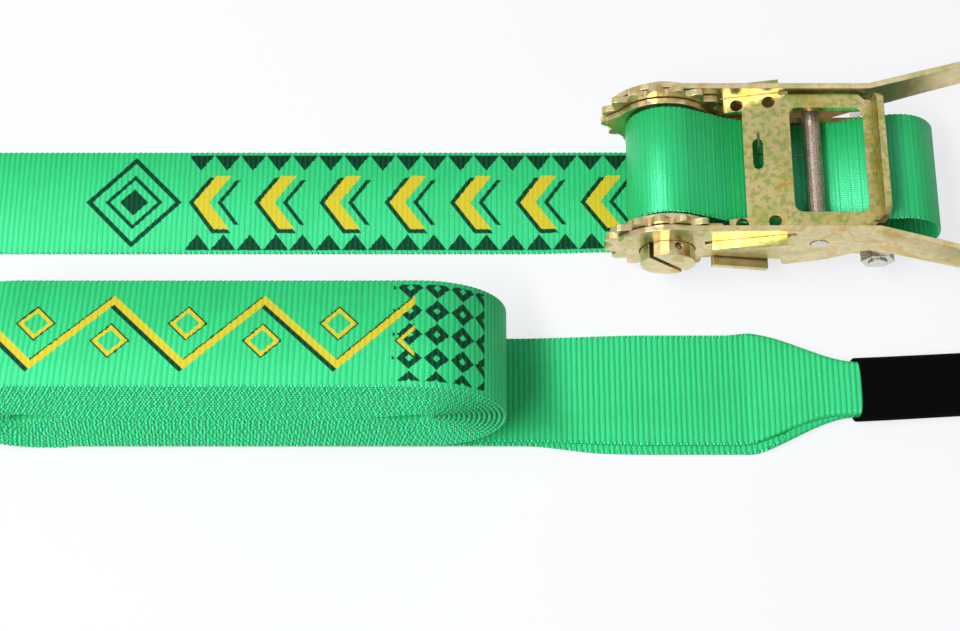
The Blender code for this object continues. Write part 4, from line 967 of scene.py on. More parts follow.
@dataclass
class Webbing:
    """Ribbed webbing swept along a path: its ribs, its rounded selvedges and its weave
    coordinates all come from one Geometry Nodes tree. Before a place along it, measured from the
    print's start, it is taut and its ribs lie flatter."""

    width: float = 49.8 * MM
    thickness: float = 1.15 * MM
    rib: float = 2.4 * MM
    rib_height: float = 0.16 * MM
    selvedge: float = 0.3 * MM
    rows_per_rib: int = 4
    edge_round: float = 0.42
    edge_share: float = 0.496
    taut_loss: float = 0.75
    satin_before: float = -1.0
    smooth: float = 40

    def _grow(self, tree: bpy.types.NodeTree, start: bpy.types.Node) -> bpy.types.NodeSocket:
        """Sweeps a flat section along the chain of edges and raises the ribs.

        Args:
            tree: The geometry tree.
            start: Its input node.

        Returns:
            The dressed webbing.
        """
        curve = add_node(tree, "GeometryNodeMeshToCurve", inputs={0: start.outputs["Geometry"]})
        rail = add_node(tree, "GeometryNodeResampleCurve", {"mode": "LENGTH"}, {
            "Curve": curve.outputs[0], "Length": start.outputs["Row spacing"]}).outputs[0]
        tangent = add_node(tree, "GeometryNodeInputTangent")
        normal = add_node(tree, "GeometryNodeInputNormal").outputs[0]
        up = add_node(tree, "ShaderNodeVectorMath", {"operation": "CROSS_PRODUCT"}, {
            0: tangent.outputs[0], 1: normal}).outputs[0]
        length = add_node(tree, "GeometryNodeSplineParameter").outputs["Length"]
        for name, kind, value in (("along", "FLOAT", length), ("aside", "FLOAT_VECTOR", normal),
                                  ("up", "FLOAT_VECTOR", up)):
            rail = add_node(tree, "GeometryNodeStoreNamedAttribute",
                            {"data_type": kind, "domain": "POINT"},
                            {"Geometry": rail, "Name": name, "Value": value}).outputs[0]
        vectors = {"data_type": "FLOAT_VECTOR", "domain": "POINT"}
        section = add_node(tree, "GeometryNodeCurvePrimitiveQuadrilateral", inputs={
            "Width": start.outputs["Width"], "Height": start.outputs["Thickness"]})
        cut = add_node(tree, "GeometryNodeFilletCurve", {}, {
            "Curve": section.outputs[0], "Radius": start.outputs["Edge radius"]})
        spot = add_node(tree, "GeometryNodeInputPosition").outputs[0]
        profile = add_node(tree, "GeometryNodeStoreNamedAttribute", vectors, {
            "Geometry": cut.outputs[0], "Name": "spot", "Value": spot})
        swept = add_node(tree, "GeometryNodeCurveToMesh", inputs={
            "Curve": rail, "Profile Curve": profile.outputs[0], "Fill Caps": True})
        offset, weave = self._ribs(tree, start)
        moved = add_node(tree, "GeometryNodeSetPosition", inputs={
            "Geometry": swept.outputs[0], "Offset": offset})
        stored = add_node(tree, "GeometryNodeStoreNamedAttribute", vectors, {
            "Geometry": moved.outputs[0], "Name": "weave", "Value": weave})
        real = add_node(tree, "GeometryNodeRealizeInstances", inputs={0: stored.outputs[0]})
        dressed = add_node(tree, "GeometryNodeSetMaterial", inputs={
            "Geometry": real.outputs[0], "Material": start.outputs["Material"]})
        return dressed.outputs[0]

    def _ribs(self, tree: bpy.types.NodeTree, start: bpy.types.Node) -> tuple[
            bpy.types.NodeSocket, bpy.types.NodeSocket]:
        """How far each point rises with its rib, and its place on the weave.

        Args:
            tree: The geometry tree.
            start: Its input node.

        Returns:
            The points' offset, and (along, across, side).
        """
        f = Formula(tree)
        along, spot, up, aside = (
            add_node(tree, "GeometryNodeInputNamedAttribute", {"data_type": kind},
                     {"Name": name}).outputs[0]
            for name, kind in (("along", "FLOAT"), ("spot", "FLOAT_VECTOR"),
                               ("up", "FLOAT_VECTOR"), ("aside", "FLOAT_VECTOR")))
        spot_parts = add_node(tree, "ShaderNodeSeparateXYZ", inputs={0: spot})
        across, depth = spot_parts.outputs["X"], spot_parts.outputs["Y"]
        wave = f.size(f.sine(f.mul(f.div(along, start.outputs["Rib spacing"]), math.pi)))
        since = f.sub(along, start.outputs["Print start"])
        taut = f.op("LESS_THAN", since, start.outputs["Satin before"])
        lift = f.mul(f.mul(wave, f.op("SIGN", depth)), start.outputs["Rib height"])
        lift = f.mul(lift, f.sub(1.0, f.mul(taut, start.outputs["Taut loss"])))
        far = f.div(f.size(across), start.outputs["Width"])
        at_edge = f.op("GREATER_THAN", far, start.outputs["Edge share"])
        bulge = f.mul(f.mul(wave, f.op("SIGN", across)),
                      f.mul(at_edge, start.outputs["Selvedge"]))
        rise, swell = (
            add_node(tree, "ShaderNodeVectorMath", {"operation": "SCALE"},
                     {0: way, "Scale": amount}).outputs[0]
            for way, amount in ((up, lift), (aside, bulge)))
        offset = add_node(tree, "ShaderNodeVectorMath", {"operation": "ADD"}, {0: rise, 1: swell})
        turned = f.op("SIGN", add_node(tree, "ShaderNodeSeparateXYZ",
                                       inputs={0: aside}).outputs["Y"])
        side = f.div(f.mul(depth, 2.0), start.outputs["Thickness"])
        weave = add_node(tree, "ShaderNodeCombineXYZ", inputs={
            0: since, 1: f.mul(across, turned), 2: f.mul(side, turned)})
        return offset.outputs[0], weave.outputs[0]

    def sweep(self, name: str, path: Sequence[Point], material: bpy.types.Material,
              print_start: float = 0.0) -> bpy.types.Mesh:
        """Sweeps the webbing along a path in the XZ plane.

        Args:
            name: The mesh's name.
            path: Its middle line as (x, z).
            material: The woven material.
            print_start: How far along the path the print starts.

        Returns:
            The mesh, about Y = 0, with a weave attribute of (along, across, side).
        """
        shape = NodeShape("ribbed_webbing", {
            "Width": ("NodeSocketFloat", self.width - 2 * self.selvedge),
            "Thickness": ("NodeSocketFloat", self.thickness),
            "Edge radius": ("NodeSocketFloat", self.thickness * self.edge_round),
            "Row spacing": ("NodeSocketFloat", self.rib / self.rows_per_rib),
            "Rib spacing": ("NodeSocketFloat", self.rib),
            "Rib height": ("NodeSocketFloat", self.rib_height),
            "Selvedge": ("NodeSocketFloat", self.selvedge),
            "Print start": ("NodeSocketFloat", print_start),
            "Satin before": ("NodeSocketFloat", self.satin_before),
            "Taut loss": ("NodeSocketFloat", self.taut_loss),
            "Edge share": ("NodeSocketFloat", self.edge_share),
            "Material": ("NodeSocketMaterial", material),
        }, self._grow)
        made = shape.mesh(polyline(name, path))
        made.shade_smooth()
        made.set_sharp_from_angle(angle=math.radians(self.smooth))
        return made


def shift(mesh: bpy.types.Mesh, by: tuple[float, float, float]) -> bpy.types.Mesh:
    """Moves a mesh's points."""
    mesh.transform(Matrix.Translation(by))
    return mesh


# The set


@dataclass
class Ratchet:
    """Where the ratchet lies and the sizes that the strap meets there."""

    axis_x: float = 82 * MM
    axis_y: float = 34.5 * MM
    axis_z: float = 29 * MM
    web: float = 1.4 * MM
    touch: float = 0.3 * MM
    running: float = 0.4 * MM
    mandrel: float = 12 * MM
    slit_tilt: float = math.radians(-48)
    turns: float = 0.69
    pitch: float = 1.9 * MM
    leave: float = math.radians(27)
    wrap_start: float = math.radians(205)
    climb_start: float = math.radians(185)
    strap_top: float = 20.3 * MM
    rod_x: float = 65 * MM
    rod_z: float = 8 * MM
    rod_sleeve: float = 7.8 * MM
    bolt_x: float = 94 * MM
    bolt_drop: float = 9.1 * MM

    @property
    def winding_start(self) -> float:
        """The winding's first radius."""
        return self.mandrel + self.touch + self.web / 2

    @property
    def winding_end(self) -> float:
        """The winding's last radius."""
        return self.winding_start + self.pitch * self.turns


@dataclass
class RatchetStrap:
    """The short strap: held in the slit, wound on the spool, under the pull pawl, round the bolt
    and along the ground to a sewn eye."""

    ratchet: Ratchet = field(default_factory=Ratchet)
    webbing: Webbing = field(default_factory=lambda: Webbing(satin_before=-150 * MM))
    half_length: float = 300 * MM
    dive: float = 23.5 * MM
    passing: float = 12 * MM
    rise: float = 9.6 * MM
    bight: float = 27 * MM
    eye_length: float = 66 * MM
    eye_height: float = 9 * MM
    print_x: float = -7 * MM
    slack_width: float = 0.016
    slack_shift: float = -0.5 * MM
    slack_until: float = 60 * MM
    slack_over: float = 40 * MM
    landed_before: float = 40 * MM
    winding_steps: int = 64
    wrap_steps: int = 16
    route_step: float = 1.5 * MM
    eye_step: float = 2 * MM
    tail_inset: float = 1 * MM
    tail_rib: float = 0.08 * MM
    stitch_start: float = 0.63
    stitch_rows: int = 9
    stitches_in_row: int = 7
    stitch_step: float = 3.2 * MM
    stitch_row_gap: float = 4.6 * MM
    stitch_sink: float = 0.12 * MM
    stitch_shape: Pair = (3.4, 0.8)
    thread_radius: float = 0.4 * MM

    def _winding_path(self) -> list[Point]:
        """The spiral on the spool, from the mandrel out, about the axis.

        Returns:
            Points (x, z).
        """
        r = self.ratchet
        steps = round(self.winding_steps * r.turns)
        leave = math.pi / 2 - r.leave
        made = []
        for i in range(steps + 1):
            share = i / steps
            angle = leave + 2 * math.pi * r.turns * (1 - share)
            radius = r.winding_start + (r.winding_end - r.winding_start) * share
            made.append((radius * math.cos(angle), radius * math.sin(angle)))
        return made

    def _wrap(self) -> list[Point]:
        """The strap's loose lap over the winding, from the spool's far side up to the top.

        Returns:
            Points (x, z) about the ratchet's axis.
        """
        r = self.ratchet
        low = r.winding_end + r.web + r.running
        leave = math.pi / 2 - r.leave
        points = []
        for i in range(self.wrap_steps):
            angle = r.wrap_start + (leave - r.wrap_start) * i / self.wrap_steps
            climb = ease((r.climb_start - angle) / (r.climb_start - math.pi / 2))
            radius = low + (r.strap_top - low) * climb
            points.append((radius * math.cos(angle), radius * math.sin(angle)))
        return points

    def _route(self) -> list[Point]:
        """The free strap's middle line about the ratchet's axis.

        Returns:
            Points (x, z).
        """
        r = self.ratchet
        ground = r.web / 2 - r.axis_z
        first = Vector((math.sin(r.leave), math.cos(r.leave))) * r.strap_top
        down = Vector((math.cos(r.leave), -math.sin(r.leave)))
        rod_low = r.rod_z - r.rod_sleeve / 2 - r.touch - r.web / 2
        points = self._wrap()
        points += [tuple(first + down * self.dive * share) for share in (0, 0.5, 1)]
        for x, z in ((-1.85, 0.125), (-1, -0.146), (0, -0.094), (1, 0.156)):
            points.append((r.rod_x + self.passing * x, rod_low + self.rise * z))
        for x, z in ((-0.3, 0.58), (0.3, 1), (0.7, 0.68), (0.96, -0.31)):
            points.append((r.bolt_x + self.bight * x, rod_low + self.rise * z))
        for x, z in ((1, -0.185), (0.7, -0.46)):
            points.append((r.bolt_x + self.bight * x, self.bight * z - r.bolt_drop))
        for x, z in ((-0.07, 0.1), (-0.96, 0), (-2.2, 0)):
            points.append((r.bolt_x + self.bight * x, ground + self.bight * z))
        path = smooth_path(points, self.route_step)
        left = -self.half_length - r.axis_x
        bend = self.eye_height / 2
        lap = ground + r.web + 1.5 * r.touch
        path += [(left + self.eye_length, ground), (left + self.eye_length / 2, ground)]
        path += arc(bend, -math.pi / 2, -3 * math.pi / 2, BEND_STEPS,
                    (left + r.web / 2 + bend, ground + bend))
        path += smooth_path([
            (left + self.eye_length * 0.2, ground + self.eye_height),
            (left + self.eye_length * 0.4, ground + self.eye_height * 0.8),
            (left + self.eye_length * 0.6, lap),
            (left + self.eye_length, lap),
        ], self.eye_step)
        return path

    def build(self) -> None:
        """Makes the winding, the held end and the free strap."""
        r = self.ratchet
        at = (r.axis_x, r.axis_y, r.axis_z)
        # The all-taut material and the printed one's taut stretch near the spool are painted a
        # little darker, a painted shade, besides their flatter ribs and lower roughness.
        plain = WovenPolyester("woven_green_polyester_satin_and_painted_shade", satin_before=FAR_OFF).material()
        printed = WovenPolyester("woven_green_polyester_printed", artwork=Print.CHEVRONS,
                                 satin_before=self.webbing.satin_before / MM).material()
        winding = self._winding_path()
        mesh = shift(self.webbing.sweep("wound_strap", winding, plain), at)
        piece = add_piece("wound_strap", mesh, None, Body.SPOOL)
        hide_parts("strap_winding")
        along = Vector((math.cos(r.slit_tilt), math.sin(r.slit_tilt)))
        along *= r.mandrel - self.tail_inset
        tail = [tuple(-along), tuple(along)]
        held = Webbing(rib_height=self.tail_rib)
        piece = add_piece("held_strap_end", shift(held.sweep("held_strap_end", tail, plain), at),
                          None, Body.SPOOL)
        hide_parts("strap_tail")
        route = self._route()
        lengths = path_lengths(np.array(route))
        landed = next(i for i, p in enumerate(route)
                      if p[1] < r.web - r.axis_z and p[0] < self.landed_before)
        print_start = lengths[landed] + route[landed][0] - self.print_x
        mesh = self.webbing.sweep("ratchet_strap", route, printed, print_start)
        piece = add_piece("ratchet_strap", self._relax(shift(mesh, at)), None, Body.BASE)
        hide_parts("strap_run")
        self._stitch()

    def _relax(self, mesh: bpy.types.Mesh) -> bpy.types.Mesh:
        """Widens the stretch on the ground a little, as slack webbing lies.

        Args:
            mesh: The strap's mesh, in place.

        Returns:
            The same mesh.
        """

        def widen(spots: np.ndarray) -> None:
            """Spreads the points about the strap's middle.

            Args:
                spots: Rows of (x, y, z), which it changes.
            """
            share = ease((self.slack_until - spots[:, 0]) / self.slack_over)
            aside = spots[:, 1] - self.ratchet.axis_y
            spots[:, 1] += share * (self.slack_width * aside + self.slack_shift)

        return move_points(mesh, widen)

    def _stitch(self) -> None:
        """Sews the far eye's lap with rows of thread, copied by Geometry Nodes."""
        r = self.ratchet
        left = -self.half_length + self.eye_length * self.stitch_start
        middle = r.axis_y + self.slack_shift
        top = 2 * r.web + 1.5 * r.touch - self.stitch_sink
        spots = [(left + self.stitch_step * (k + 0.5 * (row % 2)),
                  middle + self.stitch_row_gap * (row - self.stitch_rows // 2), top)
                 for row in range(self.stitch_rows) for k in range(self.stitches_in_row)]
        source = bpy.data.meshes.new("stitch_places")
        source.from_pydata(spots, [], [])

        def grow(tree: bpy.types.NodeTree, start: bpy.types.Node) -> bpy.types.NodeSocket:
            """A flat bead of thread at every place.

            Args:
                tree: The geometry tree.
                start: Its input node.

            Returns:
                The stitches.
            """
            bead = add_node(tree, "GeometryNodeMeshUVSphere", inputs={
                "Segments": 10, "Rings": 8, "Radius": start.outputs["Thread radius"]})
            points = add_node(tree, "GeometryNodeMeshToPoints", inputs={
                0: start.outputs["Geometry"]})
            stretch = add_node(tree, "ShaderNodeCombineXYZ", inputs={
                0: start.outputs["Stretch"], 1: 1.0, 2: start.outputs["Flatness"]})
            placed = add_node(tree, "GeometryNodeInstanceOnPoints", inputs={
                "Points": points.outputs[0], "Instance": bead.outputs[0],
                "Scale": stretch.outputs[0]})
            real = add_node(tree, "GeometryNodeRealizeInstances", inputs={0: placed.outputs[0]})
            round_beads = add_node(tree, "GeometryNodeSetShadeSmooth", inputs={
                0: real.outputs[0]})
            dressed = add_node(tree, "GeometryNodeSetMaterial", inputs={
                "Geometry": round_beads.outputs[0], "Material": start.outputs["Material"]})
            return dressed.outputs[0]

        shape = NodeShape("stitches", {
            "Thread radius": ("NodeSocketFloat", self.thread_radius),
            "Stretch": ("NodeSocketFloat", self.stitch_shape[0]),
            "Flatness": ("NodeSocketFloat", self.stitch_shape[1]),
            "Material": ("NodeSocketMaterial", SewingThread().material()),
        }, grow)
        add_piece("eye_stitches", shape.mesh(source), None, Body.BASE)


@dataclass
class MainLine:
    """The long line: its flat roll, the doubled stretch to its sewn eye and the sleeve there."""

    webbing: Webbing = field(default_factory=Webbing)
    turns: int = 15
    pitch: float = 2.1 * MM
    core_half_height: float = 3.2 * MM
    pressed_gap: float = 0.5 * MM
    pressed_length: float = 124 * MM
    core_end: float = 5.5 * MM
    right: float = 12 * MM
    flat: float = 166 * MM
    rear_share: float = 0.83
    lean: float = 7.5 * MM
    web: float = 1.4 * MM
    touch: float = 0.3 * MM
    middle_y: float = -57.6 * MM
    eye_start: float = -180 * MM
    taper_start: float = 117 * MM
    taper_end: float = 168 * MM
    neck: float = 26 * MM
    upper_shift: float = 1.4 * MM
    lower_shift: float = -2.3 * MM
    front_lead: float = 9 * MM
    shift_from: float = 20 * MM
    shift_over: float = 35 * MM
    bow_from: float = 14 * MM
    bow_over: float = 62 * MM
    bow: float = 0.06
    drift_start: float = 0.8 * MM
    drift_slope: float = 0.055
    drift_until: float = 225 * MM
    sleeve_wall: float = 1.2 * MM
    half_length: float = 300 * MM
    print_lead: float = 30 * MM
    neck_thickness: float = 3.4 * MM
    neck_slack: float = 0.9 * MM
    skin: float = 0.1 * MM
    lower_lead: float = 3 * MM
    row: float = 0.6 * MM
    fold_steps: int = 8
    flap_steps: int = 3
    flat_steps: int = 7
    flap_sink: float = 0.02 * MM
    roll_thickness: float = 1.55 * MM
    rib_height: float = 0.12 * MM
    edge_share: float = 0.49
    edge_swell: float = 0.25 * MM
    swell_middle: float = 0.6

    @property
    def bottom_z(self) -> float:
        """The middle height of the roll's lowest run, which goes on as the eye's upper layer."""
        return 1.5 * self.web + 1.5 * self.touch

    def _half_height(self, x: float, turned: float) -> float:
        """How far a turn lies from the roll's middle at an x from the middle of its runs.

        Args:
            x: How far along the run it is.
            turned: How many turns lie inside it.

        Returns:
            Half the height there.
        """
        pressed = (self.web + self.pressed_gap - 1.5 * self.pitch) / 2
        half = self.pressed_length / 2
        share = ease((abs(x) - half) / (self.flat / 2 - half))
        core = pressed + (self.core_half_height - pressed) * share
        outer = self.core_half_height + self.pitch * self.turns
        return core + (outer - core) * turned / self.turns

    def _roll_path(self) -> tuple[list[Point], float]:
        """The spiral from the core out, and how far along it the last top run starts.

        Returns:
            Points (x, z) and that length.
        """
        centre_x = self.right - self.core_end - self.pitch * self.turns - self.flat / 2
        middle = self.bottom_z + self.core_half_height + self.pitch * self.turns
        runs = [1 - 2 * k / BEND_STEPS for k in range(1, BEND_STEPS)]
        points: list[Point] = []
        top_start = 0.0
        for half in range(2 * self.turns):
            side = 1 if half % 2 == 0 else -1
            for k in range(BEND_STEPS + 1):
                angle = -math.pi / 2 + math.pi * k / BEND_STEPS
                turned = (half + k / BEND_STEPS) / 2
                height = self.core_half_height + self.pitch * turned
                reach = self.core_end + self.pitch * turned
                points.append((centre_x + side * (self.flat / 2 + reach * math.cos(angle)),
                               middle + side * height * math.sin(angle)))
            if half == 2 * self.turns - 2:
                top_start = float(path_lengths(np.array(points))[-1])
            if half + 1 < 2 * self.turns:
                for share in runs:
                    x = side * share * self.flat / 2
                    points.append((centre_x + x,
                                   middle + side * self._half_height(x, (half + 1) / 2)))
        points.append((self.eye_start - self.touch, points[-1][1]))
        return points, top_start

    def _lean_back(self, mesh: bpy.types.Mesh, high: float) -> bpy.types.Mesh:
        """Leans the roll back and lets its rear sink a little, as its turns have slipped.

        Args:
            mesh: The roll's mesh.
            high: How high the roll stands.

        Returns:
            The same mesh.
        """
        low = self.bottom_z - self.web / 2

        def slip(spots: np.ndarray) -> None:
            """Moves the points back by their height and down by their place across.

            Args:
                spots: Rows of (x, y, z), which it changes.
            """
            share = (spots[:, 1] + self.webbing.width / 2) / self.webbing.width
            lift = spots[:, 2] - low
            spots[:, 2] = low + lift * (1 - (1 - self.rear_share) * share)
            spots[:, 1] += self.middle_y + self.lean * lift / high

        return move_points(mesh, slip)

    def _build_roll(self) -> None:
        """Winds the roll."""
        path, top_start = self._roll_path()
        high = max(z for _, z in path)
        printed = WovenPolyester("woven_green_polyester_line", artwork=Print.ZIGZAG,
                                 fold_height=high / 2 / MM).material()
        webbing = Webbing(rib_height=self.rib_height, thickness=self.roll_thickness)
        mesh = webbing.sweep("rolled_line", path, printed, top_start - self.print_lead)
        piece = add_piece("rolled_line", self._lean_back(mesh, high), None, Body.BASE)
        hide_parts("line_roll")

    def _share(self, x: float) -> float:
        """How far along its taper the doubled line is, from 0 to 1."""
        return min(max((x - self.taper_start) / (self.taper_end - self.taper_start), 0), 1)

    def _width(self, x: float) -> float:
        """How much of its full width the eye spans where it comes out from under the roll."""
        return 1 - self.bow * ease(1 - (x - self.bow_from) / self.bow_over)

    def drift(self, x: float) -> float:
        """How far the sleeve's end of the line lies off to the rear at an x."""
        return (self.drift_start * self._share(x)
                + self.drift_slope * max(0.0, min(x, self.drift_until) - self.taper_end))

    def _folded_section(self, flat: float, tuck: float) -> list[tuple[float, float, float, int]]:
        """The webbing's section where its edges fold under beside a flat middle.

        Args:
            flat: Half the width that stays flat.
            tuck: The fold's radius at the webbing's middle.

        Returns:
            Rows of (across, inwards, place on the flat webbing, side), round the section.
        """
        wall = self.webbing.thickness / 2 + self.skin
        over = self.webbing.width / 2 - flat
        turn = min(over / tuck, math.pi)
        bends = [turn * tuck * k / self.fold_steps for k in range(1, self.fold_steps + 1)]
        flap = [turn * tuck + (over - turn * tuck) * k / self.flap_steps + self.flap_sink * k
                for k in range(1, self.flap_steps + 1)]
        half = [flat * k / self.flat_steps for k in range(self.flat_steps + 1)]
        places = half + [flat + q for q in bends + flap]
        places = [-q for q in reversed(places[1:])] + places
        outer, inner = [], []
        for q in places:
            beyond = max(abs(q) - flat, 0.0)
            angle = min(beyond / tuck, math.pi)
            reach = min(abs(q), flat) + tuck * math.sin(angle) - max(beyond - math.pi * tuck, 0.0)
            across, depth = math.copysign(reach, q), tuck * (1 - math.cos(angle))
            normal = (math.copysign(math.sin(angle), q), -math.cos(angle))
            outer.append((across + normal[0] * wall, depth + normal[1] * wall, q, 1))
            inner.append((across - normal[0] * wall, depth - normal[1] * wall, q, -1))
        return outer + inner[::-1]

    def _state(self, x: float) -> tuple[float, float, float]:
        """The flat half width, layer thickness and underside height at an x.

        Args:
            x: The place along the line.

        Returns:
            The half width, thickness and height.
        """
        share = self._share(x)
        tuck = (self.neck_thickness - self.web) / 2
        full_flat = self.webbing.width / 2 - self.skin
        neck_flat = self.neck / 2 - tuck - self.web / 2 - self.neck_slack
        return (full_flat + (neck_flat - full_flat) * ease(share),
                self.web + (self.neck_thickness - self.web) * share,
                (self.sleeve_wall + self.touch) * share)

    def _eye_rows(self) -> list[tuple[Vector, Vector, float, float]]:
        """The eye's sections from its upper start round the bight to its lower end: each one's
        place, the way to its inner face, its flat half width and its shift aside."""
        clear = 1.5 * self.touch
        half_wall = self.web / 2
        radius = self.neck_thickness + clear / 2
        bend_x = self.half_length - self.sleeve_wall - self.touch - radius
        xs = list(np.arange(self.eye_start, bend_x, self.row)) + [bend_x]
        rows: list[tuple[Vector, Vector, float, float]] = []
        for x in xs:
            rear, thickness, low = self._state(x)
            front = self._state(x + self.front_lead)[0]
            aside = self.upper_shift * (1 - self._share(x)) + (rear - front) / 2
            rows.append((Vector((x, low + 2 * thickness + clear - half_wall)), Vector((0, -1)),
                         (rear + front) / 2, aside + self.drift(x)))
        neck_flat, _, low = self._state(bend_x)
        for k in range(1, BEND_STEPS):
            angle = math.pi / 2 - math.pi * k / BEND_STEPS
            way = Vector((math.cos(angle), math.sin(angle)))
            rows.append((Vector((bend_x, low + radius)) + way * (radius - half_wall), -way,
                         neck_flat, self.drift(bend_x)))
        for x in reversed(xs):
            low = self._state(x)[2]
            begun = ease((x - self.shift_from) / self.shift_over)
            aside = self.lower_shift * begun * (1 - self._share(x)) ** 2
            rows.append((Vector((x, low + half_wall)), Vector((0, 1)),
                         self._state(x + self.lower_lead)[0], aside + self.drift(x)))
        return rows

    def _build_eye(self) -> None:
        """Makes the doubled stretch, whose edges fold under towards the sleeve, and its bight."""
        tuck = (self.neck_thickness - self.web) / 2
        bm = bmesh.new()
        layer = bm.verts.layers.float_vector.new("weave")
        along, last, rings = 0.0, None, []
        for spot, inward, flat, aside in self._eye_rows():
            along += (spot - last).length if last is not None else 0.0
            last = spot
            wave = abs(math.sin(math.pi * along / self.webbing.rib))
            width = self._width(spot.x)
            ring = []
            for across, depth, flat_place, side in self._folded_section(flat, tuck):
                edge = abs(flat_place) > self.webbing.width * self.edge_share
                swell = (wave - self.swell_middle) * (self.edge_swell if edge else 0)
                y = (across + math.copysign(swell, across)) * width
                raise_by = depth - wave * self.rib_height * side
                vert = bm.verts.new((spot.x + inward.x * raise_by, self.middle_y + aside + y,
                                     spot.y + inward.y * raise_by))
                vert[layer] = (along, flat_place, -1.0)
                ring.append(vert)
            rings.append(ring)
        bridge_rings(bm, rings)
        bm.faces.new(rings[0])
        bm.faces.new(rings[-1])
        plain = WovenPolyester("woven_green_polyester_eye").material()
        piece = add_piece("line_eye_webbing", bmesh_to_mesh(bm, "line_eye_webbing", 40), plain,
                          Body.BASE)
        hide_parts("line_eye")
        LOG.info("the eye takes %.3f m", along)

    def build(self) -> None:
        """Makes the roll, the eye and the sleeve."""
        self._build_roll()
        self._build_eye()
        Sleeve(self).build()


@dataclass
class Sleeve:
    """The flat woven tube over the line's bight, with creases across it and a slanted mouth."""

    line: "MainLine"
    corner: float = 3.2 * MM
    side_power: float = 0.55
    face_power: float = 0.8
    around: int = 44
    rows: int = 150
    lip: float = 4 * MM
    lip_rows: int = 12
    lip_limit: float = 6 * MM
    lining: float = 1.0 * MM
    lining_rows: int = 10
    end_wall: float = 2 * MM
    waist: float = 0.012
    seed: int = 7
    creases: int = 46
    crease_margin: float = 8 * MM
    crease_side: float = 0.8
    crease_depth: Pair = (0.12, 0.4)
    crease_width: Pair = (1.2, 2.6)
    crease_span: float = 0.7
    crease_bow: float = 1.2 * MM
    crease_turns: float = 3.0
    deepest: float = 0.5 * MM

    @property
    def start(self) -> float:
        """Where its mouth lies."""
        return self.line.taper_end - 3 * self.line.touch

    @property
    def end(self) -> float:
        """Where its far end lies."""
        return self.line.half_length

    @property
    def top(self) -> float:
        """How high it stands over the doubled line."""
        line = self.line
        return 2 * line.sleeve_wall + 3.5 * line.touch + 2 * line.neck_thickness

    @property
    def half(self) -> float:
        """Half its width."""
        return self.line.neck / 2 + self.line.touch + self.line.sleeve_wall

    def _section(self, k: int) -> tuple[float, float, float, float]:
        """A point and its normal on the flat tube's rounded outline.

        Args:
            k: The point's number round the tube.

        Returns:
            (y, z) and the normal's (y, z).
        """
        angle = 2 * math.pi * k / self.around
        c, s = math.cos(angle), math.sin(angle)
        flat_y = math.copysign(min(1.0, abs(c) ** self.side_power), c)
        flat_z = math.copysign(min(1.0, abs(s) ** self.face_power), s)
        return ((self.half - self.corner) * flat_y + self.corner * c,
                (self.top / 2 - self.corner) * flat_z + self.corner * s, c, s)

    def _dent(self, creases: list, x: float, across: float) -> float:
        """How deep the creases are together at an x and a share of the half width.

        Args:
            creases: Rows of (place, side, depth, width).
            x: The place along the tube.
            across: The share of the half width, from -1 to 1.

        Returns:
            The depth.
        """
        dent = 0.0
        for at, side, depth, width in creases:
            bow = self.crease_bow * math.sin(self.crease_turns * across + side)
            near = abs(x - at - bow) / width
            beside = abs(across - side) / self.crease_span
            if near < 1 and beside < 1:
                dent += depth * (1 - near) ** 2 * (1 - beside)
        return min(dent, self.deepest)

    def _ring(self, bm: bmesh.types.BMesh, creases: list, x: float, inset: float,
              slant: float) -> list[bmesh.types.BMVert]:
        """One ring of the tube at an x, a wall's thickness in and slanted at the mouth.

        Args:
            bm: The bmesh that it goes in.
            creases: Rows of (place, side, depth, width).
            x: The place along the tube.
            inset: How far in from the outer face.
            slant: How far the mouth leans.

        Returns:
            The ring's points.
        """
        made = []
        pinch = 1 - self.waist * math.sin((x - self.start) / (self.end - self.start) * math.pi)
        for k in range(self.around):
            y, z, c, s = self._section(k)
            height = self.top / 2 + (z - s * inset) - s * self._dent(creases, x, y / self.half)
            made.append(bm.verts.new((
                max(x - slant * (0.5 - z / self.top), self.start - self.lip_limit),
                self.line.middle_y + self.line.drift(x) + (y * pinch - c * inset),
                max(height, 0.0),
            )))
        return made

    def build(self) -> None:
        """Makes the tube, its lining and its closed far end."""
        rng = np.random.default_rng(self.seed)
        creases = [(rng.uniform(self.start + self.crease_margin, self.end - self.crease_margin),
                    rng.uniform(-self.crease_side, self.crease_side),
                    rng.uniform(*self.crease_depth) * MM, rng.uniform(*self.crease_width) * MM)
                   for _ in range(self.creases)]
        length = self.end - self.start
        bm = bmesh.new()
        outer = [self._ring(bm, creases, self.start + length * i / self.rows, 0.0,
                            self.lip * max(0.0, 1 - i / self.lip_rows))
                 for i in range(self.rows + 1)]
        inner = [self._ring(bm, creases,
                            self.start + (length - self.end_wall) * i / self.lining_rows,
                            self.lining, 0.0 if i else self.lip)
                 for i in range(self.lining_rows + 1)]
        bridge_rings(bm, outer)
        bridge_rings(bm, inner[::-1])
        bridge_rings(bm, [inner[0], outer[0]])
        bm.faces.new(outer[-1])
        bm.faces.new(inner[-1])
        piece = add_piece("black_sleeve", bmesh_to_mesh(bm, "black_sleeve", 50),
                          BlackSleeving().material(), Body.BASE)
        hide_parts("line_sleeve")


